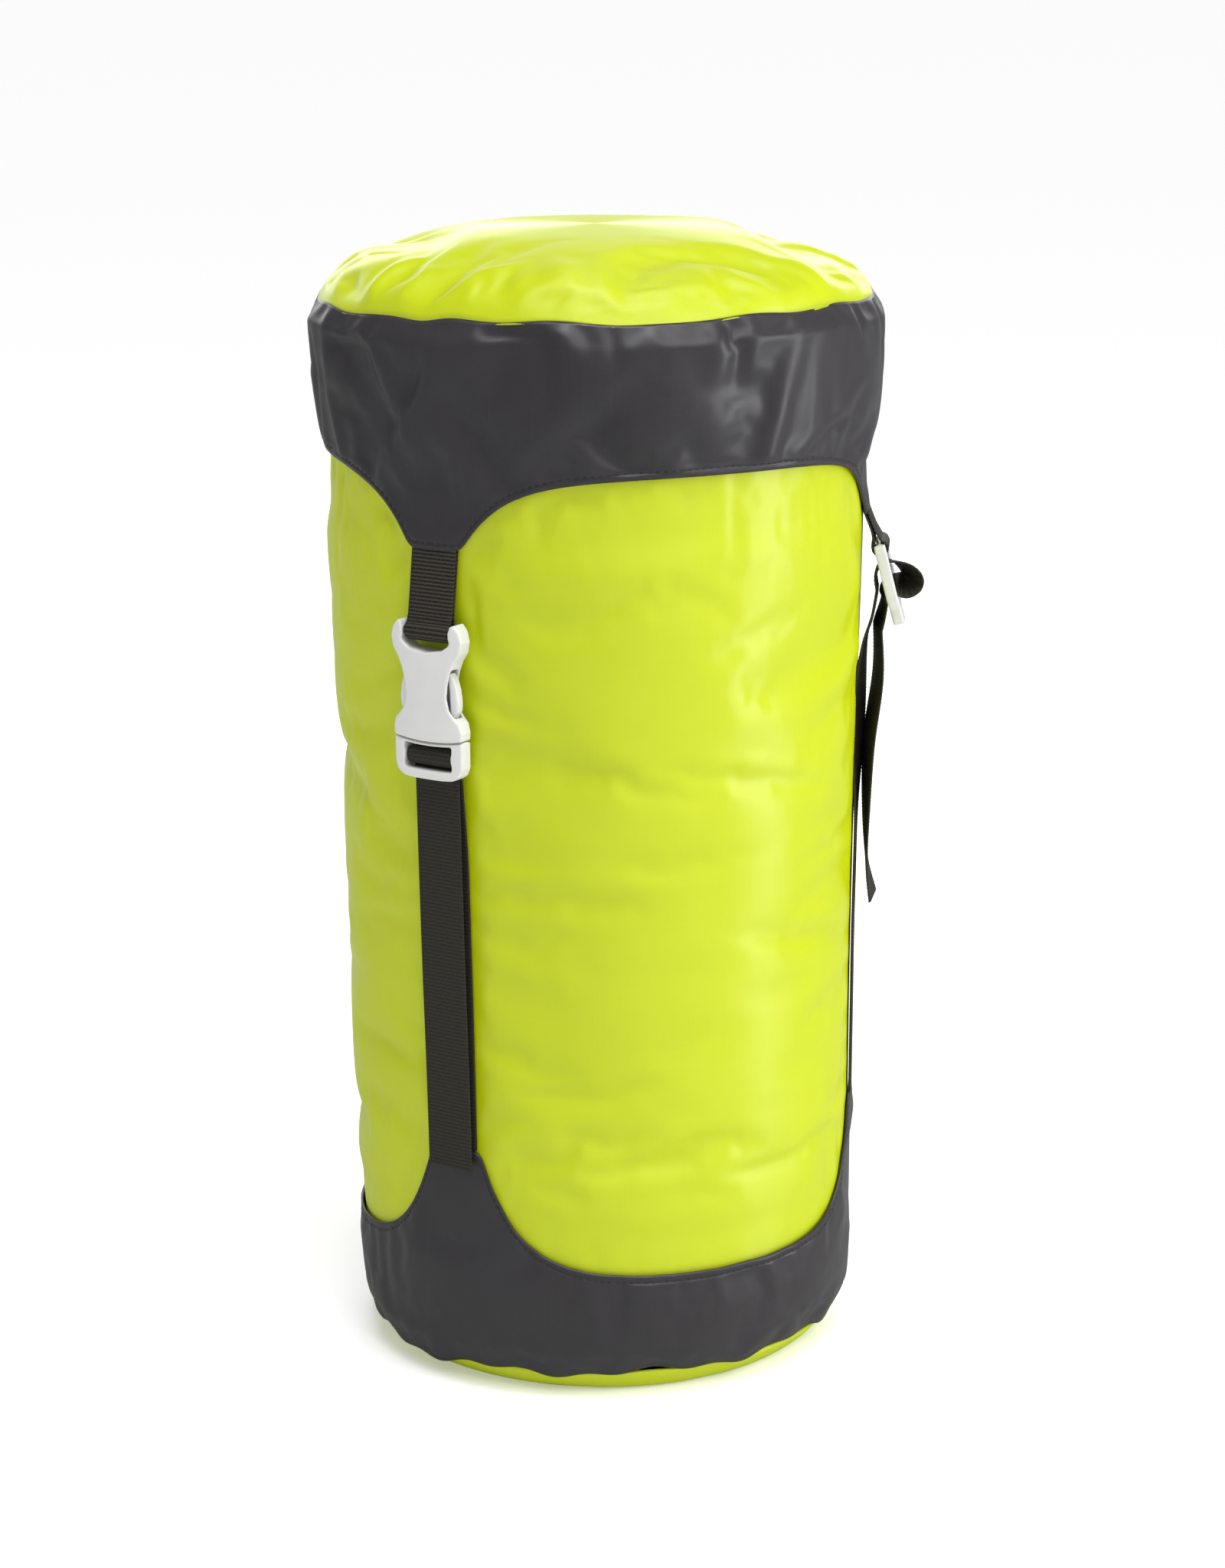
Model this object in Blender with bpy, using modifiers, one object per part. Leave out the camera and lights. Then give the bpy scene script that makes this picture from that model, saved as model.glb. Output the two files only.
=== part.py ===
"""Compression stuff sack: a stuffed cylindrical bag under a capping lid, held down by three straps.

The front strap ends in a side release buckle, and the two rear ones in ladder locks, which the lid hinges on.
Frame: metres, +Z up, the origin at the centre of the base panel's flat underside, the front strap at -Y.
"""

import math

import bmesh
import bpy
from mathutils import Matrix, Vector

MM = 0.001
GAP = 0.3 * MM

# Sack body: the stuffed outline as (radius, height), from the mouth over the shoulder to the base seam
SACK_PROFILE = [
    (0.0315, 0.3880),
    (0.0550, 0.3862),
    (0.0850, 0.3825),
    (0.0960, 0.3770),
    (0.1010, 0.3660),
    (0.1016, 0.3400),
    (0.1013, 0.3100),
    (0.0995, 0.2500),
    (0.0975, 0.1600),
    (0.0968, 0.1000),
    (0.0960, 0.0500),
    (0.0925, 0.0200),
    (0.0885, 0.0102),
]
BASE_PROFILE = [(0.0915, 0.0094), (0.0872, 0.0040), (0.0800, 0.0000), (0.0, 0.0)]
LID_PROFILE = [(0.0, 0.4270), (0.0500, 0.4262), (0.0800, 0.4225), (0.0970, 0.4155), (0.1036, 0.4090)]
FABRIC = 1.0 * MM
TURN_STEPS = 42

# Bands of darker fabric, each scalloped between three points that run to the straps
LID_BAND_RADII = [(0.1030, 0.3260), (0.1033, 0.3450), (0.1056, 0.3750), (0.1067, 0.4030), (0.1050, 0.4105)]
LID_BAND_TIP = 0.3260
LID_BAND_EDGE = 0.3540
LID_BAND_TOP = 0.4105
LID_SCALLOP = 9.5
BASE_BAND_RADII = [(0.0925, 0.0098), (0.0958, 0.0200), (0.0979, 0.0500), (0.0984, 0.1000)]
BASE_BAND_TIP = 0.0970
BASE_BAND_EDGE = 0.0500
BASE_BAND_FOOT = 0.0098
BASE_SCALLOP = 8.5
POINT_HALF_ANGLE = 6.3
BAND_ROWS = 6

# Webbing
WEB_HALF = 10.0 * MM
WEB = 1.2 * MM
STRAP_ANGLES = {"a": 0.0, "b": 120.0, "c": 240.0}
STRAP_FOOT = BASE_BAND_TIP + GAP

# Side release buckle on the front strap: depth from the body's axis, and the height of the line where it splits
BUCKLE_OUT = 0.1065
SPLIT = 0.2560
BUCKLE_DEPTH = 8.6 * MM
FEMALE_BAR = 40.5 * MM
BAR_HALF = 1.3 * MM
LATCH_ROOT = (10.3 * MM, 5.0 * MM)
TAIL_A_PIVOT = (0.1039, 0.2400)
TAIL_A_END = 0.0900

# Ladder locks on the rear straps: where the top edge stands, and how far the lower end leans out
LOCK_TOP = (0.1078, 0.3150)
LOCK_LEAN = math.radians(14.0)
LOCK_DEPTH = 4.4 * MM
TAIL_B_PIVOT = (0.1074, 0.2800)
# the corner of a tail's cut top swings up by half its thickness, and clears the wrap above
TAIL_GAP = 1.1 * MM

# Mouth closure
MOUTH_RADIUS = 0.0315
CORD_HEIGHT = 0.3930
CORD_RADIUS = 1.2 * MM
CORD_SPACING = 2.2 * MM
# the cord's ends stay inside the sweep of the lid's front edge, 80 mm out at this height
CORD_END = 0.0770
HEM_RADIUS = 3.6 * MM
LOCK_CENTRE = 0.0450
BARREL_RADIUS = 5.0 * MM
BARREL_ENDS = (-9.5 * MM, 7.0 * MM)
BARREL_WALL = 1.2 * MM
BORE_RADIUS = 3.7 * MM
PRESS = 2.5 * MM
SPRING_LENGTH = 3.0 * MM
SPRING_RADIUS = 2.4 * MM
SPRING_WIRE = 0.3 * MM
SPRING_TURNS = 2
SPRING_STEPS = 10

LIME = (0.52, 0.62, 0.02)
CHARCOAL = (0.06, 0.057, 0.062)
WEBBING = (0.035, 0.032, 0.028)
SILVER = (0.62, 0.62, 0.61)
CORD_BLACK = (0.03, 0.03, 0.03)
STEEL = (0.55, 0.55, 0.56)


def clear_scene():
    for thing in list(bpy.data.objects):
        bpy.data.objects.remove(thing, do_unlink=True)


def new_collection(name):
    collection = bpy.data.collections.new(name)
    bpy.context.scene.collection.children.link(collection)
    return collection


def make_material(name, colour, roughness, metallic=0.0):
    material = bpy.data.materials.new(name)
    material.use_nodes = True
    shader = material.node_tree.nodes["Principled BSDF"]
    shader.inputs["Base Color"].default_value = (*colour, 1.0)
    shader.inputs["Roughness"].default_value = roughness
    shader.inputs["Metallic"].default_value = metallic
    return material


def add_piece(name, mesh, look, origin=(0.0, 0.0, 0.0), strap_angle=0.0):
    """Link a mesh drawn in the front strap's place, with its origin moved to its joint and turned to its strap."""
    shape = mesh.copy()
    shape.name = name
    shape.transform(Matrix.Translation(-Vector(origin)))
    shape.materials.clear()
    shape.materials.append(make_material(name, *look))
    piece = bpy.data.objects.new(name, shape)
    turn = Matrix.Rotation(math.radians(strap_angle), 4, "Z")
    piece.matrix_world = turn @ Matrix.Translation(Vector(origin))
    PARTS.objects.link(piece)
    return piece


def add_cutter(name, low, high):
    """A box between two corners, given as (across, out from the axis, height)."""
    bm = bmesh.new()
    bmesh.ops.create_cube(bm, size=1.0)
    size = Vector(high) - Vector(low)
    centre = (Vector(high) + Vector(low)) / 2
    bmesh.ops.scale(bm, vec=size, verts=bm.verts)
    bmesh.ops.translate(bm, vec=(centre.x, -centre.y, centre.z), verts=bm.verts)
    mesh = bpy.data.meshes.new(name)
    bm.to_mesh(mesh)
    bm.free()
    return hide_cutter(name, mesh)


def hide_cutter(name, mesh):
    cutter = bpy.data.objects.new(name, mesh)
    cutter.hide_render = True
    cutter.display_type = "WIRE"
    CUTTERS.objects.link(cutter)
    return cutter


def cut(piece, *cutters):
    for cutter in cutters:
        boolean = piece.modifiers.new(cutter.name, "BOOLEAN")
        boolean.operation = "DIFFERENCE"
        boolean.solver = "EXACT"
        boolean.object = cutter


def round_edges(piece, width, segments=2):
    bevel = piece.modifiers.new("rounded edges", "BEVEL")
    bevel.width = width
    bevel.segments = segments
    bevel.limit_method = "ANGLE"
    bevel.angle_limit = math.radians(50)


def baked(piece):
    """The evaluated mesh of a piece, with its doubled vertices welded. The piece itself is removed."""
    bpy.context.view_layer.update()
    evaluated = piece.evaluated_get(bpy.context.evaluated_depsgraph_get())
    mesh = bpy.data.meshes.new_from_object(evaluated)
    bm = bmesh.new()
    bm.from_mesh(mesh)
    bmesh.ops.remove_doubles(bm, verts=bm.verts, dist=1e-6)
    bmesh.ops.recalc_face_normals(bm, faces=bm.faces)
    bm.to_mesh(mesh)
    bm.free()
    bpy.data.objects.remove(piece, do_unlink=True)
    return mesh


def extruded(outlines, half_depth, axes):
    """A flat outline, with its holes, drawn as a curve and given depth. axes maps its own x, y and z to the frame."""
    curve = bpy.data.curves.new("outline", "CURVE")
    curve.dimensions = "2D"
    curve.fill_mode = "BOTH"
    curve.extrude = half_depth
    for outline in outlines:
        spline = curve.splines.new("POLY")
        spline.points.add(len(outline) - 1)
        for point, (u, v) in zip(spline.points, outline):
            point.co = (u, v, 0.0, 1.0)
        spline.use_cyclic_u = True
    drawing = bpy.data.objects.new("outline", curve)
    bpy.context.scene.collection.objects.link(drawing)
    mesh = baked(drawing)
    mesh.transform(Matrix(axes).transposed().to_4x4())
    return mesh


# A side view is drawn as (out from the axis, height) and runs across the strap; a front view as (across, height)
SIDE_VIEW = ((0, -1, 0), (0, 0, 1), (-1, 0, 0))
FRONT_VIEW = ((1, 0, 0), (0, 0, 1), (0, -1, 0))


def side_piece(*outlines, half_width=WEB_HALF):
    return extruded(outlines, half_width, SIDE_VIEW)


def front_piece(*outlines, depth, out):
    mesh = extruded(outlines, depth / 2, FRONT_VIEW)
    mesh.transform(Matrix.Translation((0.0, -out, 0.0)))
    return mesh


def smooth_path(points, steps=4):
    """A Catmull-Rom curve through the points."""
    ends = [points[0], *points, points[-1]]
    path = []
    for p0, p1, p2, p3 in zip(ends, ends[1:], ends[2:], ends[3:]):
        for step in range(steps):
            t = step / steps
            path.append(
                tuple(
                    0.5
                    * (
                        2 * b
                        + (c - a) * t
                        + (2 * a - 5 * b + 4 * c - d) * t**2
                        + (3 * b - a - 3 * c + d) * t**3
                    )
                    for a, b, c, d in zip(p0, p1, p2, p3)
                )
            )
    path.append(tuple(points[-1]))
    return path


def ribbon(path, thickness=WEB):
    """The outline of webbing seen from its edge: the path, thickened to both sides."""
    points = [Vector(point) for point in path]
    sides = []
    for i, point in enumerate(points):
        along = (points[min(i + 1, len(points) - 1)] - points[max(i - 1, 0)]).normalized()
        across = Vector((-along.y, along.x)) * thickness / 2
        sides.append((point + across, point - across))
    return [tuple(left) for left, _ in sides] + [tuple(right) for _, right in reversed(sides)]


def in_mm(points, height=0.0):
    return [(x * MM, height + y * MM) for x, y in points]


def mirrored(half):
    """A whole outline from its right half, which runs from the bottom to the top."""
    return half + [(-x, y) for x, y in reversed(half)]


def turned(profile, axis_merge=True):
    """An open profile turned about the Z axis, its outside facing out."""
    mesh = bpy.data.meshes.new("profile")
    edges = [(i, i + 1) for i in range(len(profile) - 1)]
    mesh.from_pydata([(r, 0.0, z) for r, z in profile], edges, [])
    drawing = bpy.data.objects.new("profile", mesh)
    bpy.context.scene.collection.objects.link(drawing)
    screw = drawing.modifiers.new("turn", "SCREW")
    screw.steps = TURN_STEPS
    screw.render_steps = TURN_STEPS
    screw.use_merge_vertices = axis_merge
    screw.merge_threshold = 1e-5
    screw.use_normal_calculate = False
    return baked_open(drawing)


def baked_open(piece):
    """The evaluated mesh of an open surface, welded, its faces left as they are."""
    bpy.context.view_layer.update()
    evaluated = piece.evaluated_get(bpy.context.evaluated_depsgraph_get())
    mesh = bpy.data.meshes.new_from_object(evaluated)
    bm = bmesh.new()
    bm.from_mesh(mesh)
    bmesh.ops.remove_doubles(bm, verts=bm.verts, dist=1e-6)
    bm.to_mesh(mesh)
    bm.free()
    bpy.data.objects.remove(piece, do_unlink=True)
    return mesh


def add_wall(piece, thickness):
    """Wall thickness, laid inwards from the outer surface."""
    solidify = piece.modifiers.new("wall", "SOLIDIFY")
    solidify.thickness = thickness
    solidify.offset = -1.0


def on_profile(profile, height):
    """The radius at a height, read from a profile whose heights rise."""
    for (r0, z0), (r1, z1) in zip(profile, profile[1:]):
        if z0 <= height <= z1:
            return r0 + (r1 - r0) * (height - z0) / (z1 - z0)
    return profile[0][0] if height < profile[0][1] else profile[-1][0]


def sack_radius(height):
    return on_profile(SACK_PROFILE[:4:-1], height)


def from_nearest_strap(angle):
    """Degrees between a direction and the nearest strap."""
    return abs((angle + 60.0) % 120.0 - 60.0)


def scallop(angle, edge, tip, width):
    """The height of a band's free edge, which runs out to a point at each strap."""
    away = max(from_nearest_strap(angle) - POINT_HALF_ANGLE, 0.0)
    return edge + (tip - edge) * math.exp(-away / width)


def band_columns():
    """The directions of a band's columns, closer together beside the points, where the edge curves."""
    one_side = [POINT_HALF_ANGLE, 9.0, 12.5, 17.0, 23.0, 30.5, 38.0, 45.5, 53.0]
    sector = [-angle for angle in reversed(one_side)] + [0.0] + one_side + [60.0]
    return [strap + angle for strap in STRAP_ANGLES.values() for angle in sector]


def band(radii, low, high):
    """A band round the sack between two edges, each a function of direction."""
    columns = band_columns()
    columns.append(columns[0] + 360.0)
    bm = bmesh.new()
    bmesh.ops.create_grid(bm, x_segments=len(columns) - 1, y_segments=BAND_ROWS, size=0.5)
    for vert in bm.verts:
        column = round((vert.co.x + 0.5) * (len(columns) - 1))
        angle = columns[column]
        share = vert.co.y + 0.5
        height = low(angle) + (high(angle) - low(angle)) * share
        radius = on_profile(radii, height)
        turn = math.radians(angle)
        vert.co = (radius * math.sin(turn), -radius * math.cos(turn), height)
    bmesh.ops.remove_doubles(bm, verts=bm.verts, dist=1e-6)
    mesh = bpy.data.meshes.new("band")
    bm.to_mesh(mesh)
    bm.free()
    return mesh


def make_sack():
    body = add_piece("sack_body", turned(SACK_PROFILE), (LIME, 0.45))
    add_wall(body, FABRIC)
    base = add_piece("base_panel", turned(BASE_PROFILE), (LIME, 0.45))
    add_wall(base, FABRIC)
    wrap = band(
        BASE_BAND_RADII,
        low=lambda angle: BASE_BAND_FOOT,
        high=lambda angle: scallop(angle, BASE_BAND_EDGE, BASE_BAND_TIP, BASE_SCALLOP),
    )
    base_band = add_piece("base_band", wrap, (CHARCOAL, 0.4))
    add_wall(base_band, FABRIC)


def make_lid():
    panel = add_piece("lid_panel", turned(LID_PROFILE), (LIME, 0.45))
    add_wall(panel, FABRIC)
    wrap = band(
        LID_BAND_RADII,
        low=lambda angle: scallop(angle, LID_BAND_EDGE, LID_BAND_TIP, LID_SCALLOP),
        high=lambda angle: LID_BAND_TOP,
    )
    lid_band = add_piece("lid_band", wrap, (CHARCOAL, 0.4))
    add_wall(lid_band, 0.8 * MM)


def tab_outline(bar, top):
    """Doubled webbing with a loop round a bar at its lower end, seen from its edge."""
    inner = 2.35 * MM
    outer = inner + WEB
    half = WEB
    bar, top = Vector(bar), Vector(top)
    up = (top - bar).normalized()
    across = Vector((up.y, -up.x))
    flare = math.asin(half / outer)
    start = math.pi / 2 - flare
    sweep = 2 * math.pi - 2 * flare
    loop = [
        bar + (across * math.cos(start - sweep * i / 14) + up * math.sin(start - sweep * i / 14)) * outer
        for i in range(15)
    ]
    outside = [tuple(point) for point in [top + across * half, *loop, top - across * half]]
    hole = [
        tuple(bar + Vector((math.cos(turn), math.sin(turn))) * inner)
        for turn in (2 * math.pi * i / 12 for i in range(12))
    ]
    return outside, hole


def make_front_tab():
    outline = tab_outline((BUCKLE_OUT, SPLIT + FEMALE_BAR), (0.1035, LID_BAND_TIP - GAP))
    return side_piece(*outline)


def make_female():
    """The female half: horns round a webbing bar, a waisted body and a cavity open at the split line."""
    right = in_mm(
        [
            (15.2, 0.3),
            (15.5, 3.5),
            (14.6, 7.5),
            (12.4, 9.8),
            (10.2, 12.5),
            (9.2, 17.0),
            (9.6, 21.5),
            (10.8, 26.5),
            (12.6, 30.5),
            (15.2, 34.0),
            (16.0, 38.0),
            (15.0, 41.8),
            (12.6, 44.5),
            (10.9, 43.6),
            (10.8, 42.0),
        ],
        SPLIT,
    )
    slot = in_mm([(-10.8, 39.0), (-10.8, 37.0), (-7.5, 34.6), (0, 33.4), (7.5, 34.6), (10.8, 37.0), (10.8, 39.0)], SPLIT)
    mesh = front_piece(mirrored(right), slot, depth=BUCKLE_DEPTH, out=BUCKLE_OUT)
    female = add_piece("buckle_female", mesh, (SILVER, 0.3))
    round_edges(female, 1.0 * MM)
    half_x, half_out = 12.0 * MM, 2.8 * MM
    cavity = add_cutter(
        "buckle_cavity",
        (-half_x, BUCKLE_OUT - half_out, SPLIT - 2 * MM),
        (half_x, BUCKLE_OUT + half_out, SPLIT + 27.5 * MM),
    )
    low, high = SPLIT + 38.0 * MM, SPLIT + 46.0 * MM
    half = 10.4 * MM
    bar_front = add_cutter("bar_front", (-half, BUCKLE_OUT + BAR_HALF, low), (half, 0.12, high))
    bar_back = add_cutter("bar_back", (-half, 0.09, low), (half, BUCKLE_OUT - BAR_HALF, high))
    cut(female, cavity, bar_front, bar_back)
    return female


def make_male():
    """The male half: a frame with two webbing bars, a shoulder and a guide tongue inside the female half."""
    right = in_mm(
        [
            (11.2, -14.0),
            (14.0, -12.8),
            (15.2, -10.0),
            (15.3, -0.0),
            (11.7, -0.0),
            (11.7, 4.6),
            (2.2, 4.6),
            (2.2, 22.0),
            (1.2, 23.5),
        ],
        SPLIT,
    )
    outer_slot = in_mm([(-10.8, -10.6), (10.8, -10.6), (10.8, -7.4), (-10.8, -7.4)], SPLIT)
    inner_slot = in_mm([(-10.8, -4.4), (10.8, -4.4), (10.8, -1.4), (-10.8, -1.4)], SPLIT)
    mesh = front_piece(mirrored(right), outer_slot, inner_slot, depth=BUCKLE_DEPTH - 0.6 * MM, out=BUCKLE_OUT)
    male = add_piece("buckle_male", mesh, (SILVER, 0.3), origin=(0.0, -BUCKLE_OUT, SPLIT))
    for side, low, high in (("front", BUCKLE_OUT + 2.4 * MM, 0.13), ("back", 0.08, BUCKLE_OUT - 2.4 * MM)):
        reach = 20 * MM
        cutter = add_cutter(f"shoulder_{side}", (-reach, low, SPLIT - 0.4 * MM), (reach, high, SPLIT + 0.03))
        cut(male, cutter)
    half = 10.4 * MM
    top = SPLIT - 1.9 * MM
    bars_back = add_cutter("bars_back", (-half, 0.08, SPLIT - 16 * MM), (half, BUCKLE_OUT - BAR_HALF, top))
    bar_front = add_cutter("middle_bar_front", (-half, BUCKLE_OUT + BAR_HALF, SPLIT - 9 * MM), (half, 0.13, top))
    cut(male, bars_back, bar_front)


def make_latches():
    """The two sprung arms, whose grips fill the female half's side windows."""
    right = in_mm(
        [
            (9.3, 5.1),
            (11.3, 5.1),
            (11.5, 10.4),
            (12.9, 12.0),
            (13.3, 15.0),
            (12.7, 20.0),
            (11.3, 24.3),
            (9.6, 26.4),
            (8.6, 25.6),
            (9.4, 20.0),
            (9.7, 14.0),
            (9.3, 8.0),
        ],
        SPLIT,
    )
    for name, side in (("latch_left", -1), ("latch_right", 1)):
        outline = [(side * x, z) for x, z in right]
        mesh = front_piece(outline, depth=4.4 * MM, out=BUCKLE_OUT)
        origin = (side * LATCH_ROOT[0], -BUCKLE_OUT, SPLIT + LATCH_ROOT[1])
        latch = add_piece(name, mesh, (SILVER, 0.3), origin=origin)
        round_edges(latch, 0.5 * MM, segments=1)


def front_path(points):
    """A strap's path at the buckle, from (out, height) in millimetres off the buckle's centre and split line."""
    return [(BUCKLE_OUT + out * MM, SPLIT + height * MM) for out, height in points]


def lock_path(points):
    """The same at a ladder lock, from (out, along) in millimetres off the lock's top edge, in its own lean."""
    down = Vector((math.sin(LOCK_LEAN), -math.cos(LOCK_LEAN)))
    out = Vector((math.cos(LOCK_LEAN), math.sin(LOCK_LEAN)))
    return [tuple(Vector(LOCK_TOP) + out * v * MM - down * w * MM) for v, w in points]


def body_path(low, high, steps):
    """A strap lying on the sack, from one height to another."""
    heights = [low + (high - low) * i / steps for i in range(steps + 1)]
    return [(sack_radius(z) + GAP + WEB / 2, z) for z in heights]


def make_front_webbing():
    load = body_path(STRAP_FOOT, 0.2100, 4) + front_path([(-4.8, -18.0), (-4.2, -10.0), (-4.2, -6.6)])
    add_piece("load_strap_a", side_piece(ribbon(smooth_path(load, 2))), (WEBBING, 0.7))
    wrap = front_path(
        [
            (-4.2, -6.3),
            (-3.4, -4.2),
            (-1.4, -3.2),
            (0.9, -3.2),
            (2.3, -4.5),
            (2.3, -7.2),
            (1.0, -8.6),
            (-1.1, -9.0),
            (-2.5, -10.3),
            (-2.6, -14.9),
        ]
    )
    origin = (0.0, -BUCKLE_OUT, SPLIT)
    add_piece("webbing_wrap_a", side_piece(ribbon(smooth_path(wrap, 2))), (WEBBING, 0.7), origin)
    pivot = TAIL_A_PIVOT
    tail = [pivot, (0.1036, 0.2150), (0.1028, 0.1700), (0.1016, 0.1250), (0.1010, TAIL_A_END)]
    add_piece("tail_a", side_piece(ribbon(smooth_path(tail, 2))), (WEBBING, 0.7), (0.0, -pivot[0], pivot[1]))


def make_ladder_lock():
    """A ladder lock drawn flat, in front view, then leaned out about its top edge."""
    right = in_mm(
        [
            (6.0, -33.0),
            (8.0, -31.0),
            (8.6, -26.5),
            (13.0, -23.0),
            (13.6, -20.0),
            (13.6, -2.5),
            (12.4, -0.3),
        ]
    )
    slots = [
        in_mm([(-half, low), (half, low), (half, high), (-half, high)])
        for half, low, high in ((10.8, -12.0, -3.3), (10.8, -21.0, -15.0), (5.0, -30.5, -26.8))
    ]
    mesh = front_piece(mirrored(right), *slots, depth=LOCK_DEPTH, out=0.0)
    flat = bpy.data.objects.new("flat lock", mesh)
    bpy.context.scene.collection.objects.link(flat)
    round_edges(flat, 0.6 * MM, segments=1)
    shaved = []
    half = 10.4 * MM
    for name, low, high in (("top", -4.5, 1.0), ("middle", -16.0, -11.0)):
        for side in (-1, 1):
            near, far = sorted((side * BAR_HALF, side * 6 * MM))
            shaved.append(add_cutter(f"{name}_bar_{side}", (-half, near, low * MM), (half, far, high * MM)))
    cut(flat, *shaved)
    lock = baked(flat)
    lock.transform(Matrix.Rotation(-LOCK_LEAN, 4, "X"))
    lock.transform(Matrix.Translation((0.0, -LOCK_TOP[0], LOCK_TOP[1])))
    for cutter in shaved:
        bpy.data.objects.remove(cutter, do_unlink=True)
    return lock


def make_rear_straps():
    lock = make_ladder_lock()
    tab = side_piece(*tab_outline(lock_path([(0.0, -1.8)])[0], (0.1037, LID_BAND_TIP - GAP)))
    load = body_path(STRAP_FOOT, 0.2500, 5) + [(0.1022, 0.2740), (0.1052, 0.2850)] + lock_path([(-5.2, -18.3)])
    wrap = lock_path(
        [
            (-5.2, -18.0),
            (-4.6, -13.0),
            (-2.6, -9.8),
            (0.0, -8.8),
            (3.8, -9.8),
            (7.6, -13.5),
            (9.0, -17.5),
            (6.0, -19.4),
            (2.0, -18.2),
            (-1.8, -18.4),
            (-3.8, -20.8),
            (-3.9, -24.0),
        ]
    ) + [(TAIL_B_PIVOT[0], TAIL_B_PIVOT[1] + TAIL_GAP)]
    pivot = TAIL_B_PIVOT
    tail = [pivot, (0.1076, 0.2620), (0.1042, 0.2350), (0.1032, 0.2050), (0.1038, 0.1870), (0.1060, 0.1740)]
    load, wrap, tail = (side_piece(ribbon(smooth_path(path, 2))) for path in (load, wrap, tail))
    origin = (0.0, -LOCK_TOP[0], LOCK_TOP[1])
    for strap in ("b", "c"):
        angle = STRAP_ANGLES[strap]
        add_piece(f"ladder_lock_{strap}", lock, (SILVER, 0.3), origin, angle)
        add_piece(f"webbing_wrap_{strap}", wrap, (WEBBING, 0.7), origin, angle)
        add_piece(f"tab_{strap}", tab, (WEBBING, 0.7), origin, angle)
        add_piece(f"load_strap_{strap}", load, (WEBBING, 0.7), strap_angle=angle)
        add_piece(f"tail_{strap}", tail, (WEBBING, 0.7), (0.0, -pivot[0], pivot[1]), angle)


def tube(name, points, radius, look, resolution=2, origin=(0.0, 0.0, 0.0)):
    """A round cord or wire along its points."""
    curve = bpy.data.curves.new(name, "CURVE")
    curve.dimensions = "3D"
    curve.bevel_depth = radius
    curve.bevel_resolution = resolution
    curve.use_fill_caps = True
    spline = curve.splines.new("POLY")
    spline.points.add(len(points) - 1)
    for vertex, point in zip(spline.points, points):
        vertex.co = (*point, 1.0)
    drawing = bpy.data.objects.new(name, curve)
    bpy.context.scene.collection.objects.link(drawing)
    return add_piece(name, baked(drawing), look, origin)


def make_hem():
    """The hem round the mouth, its channel open on a slit inside, with a notch where the cord leaves."""
    start, sweep = math.radians(205), math.radians(310)
    outside = [(start + sweep * i / 7, HEM_RADIUS) for i in range(8)]
    inside = [(start + sweep * i / 7, HEM_RADIUS - 1.0 * MM) for i in range(7, -1, -1)]
    section = [
        (MOUTH_RADIUS + radius * math.cos(turn), CORD_HEIGHT + radius * math.sin(turn))
        for turn, radius in outside + inside
    ]
    section.append(section[0])
    section.reverse()
    hem = add_piece("mouth_hem", turned(section, axis_merge=False), (LIME, 0.45))
    notch = add_cutter(
        "cord_notch",
        (-4.2 * MM, MOUTH_RADIUS - 1.0 * MM, CORD_HEIGHT - 1.7 * MM),
        (4.2 * MM, MOUTH_RADIUS + 6.0 * MM, CORD_HEIGHT + 1.7 * MM),
    )
    cut(hem, notch)


def make_drawcord():
    """One cord round the mouth, both its ends leaving by the front and lying on the sack's top."""
    leave = math.asin(CORD_SPACING * 1.6 / MOUTH_RADIUS)
    ring = [leave + (2 * math.pi - 2 * leave) * i / 36 for i in range(37)]
    loop = [(MOUTH_RADIUS * math.sin(turn), -MOUTH_RADIUS * math.cos(turn), CORD_HEIGHT) for turn in ring]
    outs = (MOUTH_RADIUS + 1.6 * MM, MOUTH_RADIUS + 4.0 * MM, LOCK_CENTRE, 0.0620, CORD_END)
    right = [(CORD_SPACING, -out, CORD_HEIGHT) for out in outs]
    left = [(-CORD_SPACING, -out, CORD_HEIGHT) for out in outs]
    tube("drawcord", right[::-1] + loop + left, CORD_RADIUS, (CORD_BLACK, 0.7))


def barrel(radius, low, high):
    """A cylinder along X, the axis that the cord lock's plunger slides on."""
    bm = bmesh.new()
    bmesh.ops.create_cone(
        bm, cap_ends=True, segments=16, radius1=radius, radius2=radius, depth=high - low
    )
    bmesh.ops.rotate(bm, verts=bm.verts, matrix=Matrix.Rotation(math.pi / 2, 3, "Y"))
    bmesh.ops.translate(bm, vec=((low + high) / 2, -LOCK_CENTRE, CORD_HEIGHT), verts=bm.verts)
    mesh = bpy.data.meshes.new("barrel")
    bm.to_mesh(mesh)
    bm.free()
    return mesh


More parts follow.
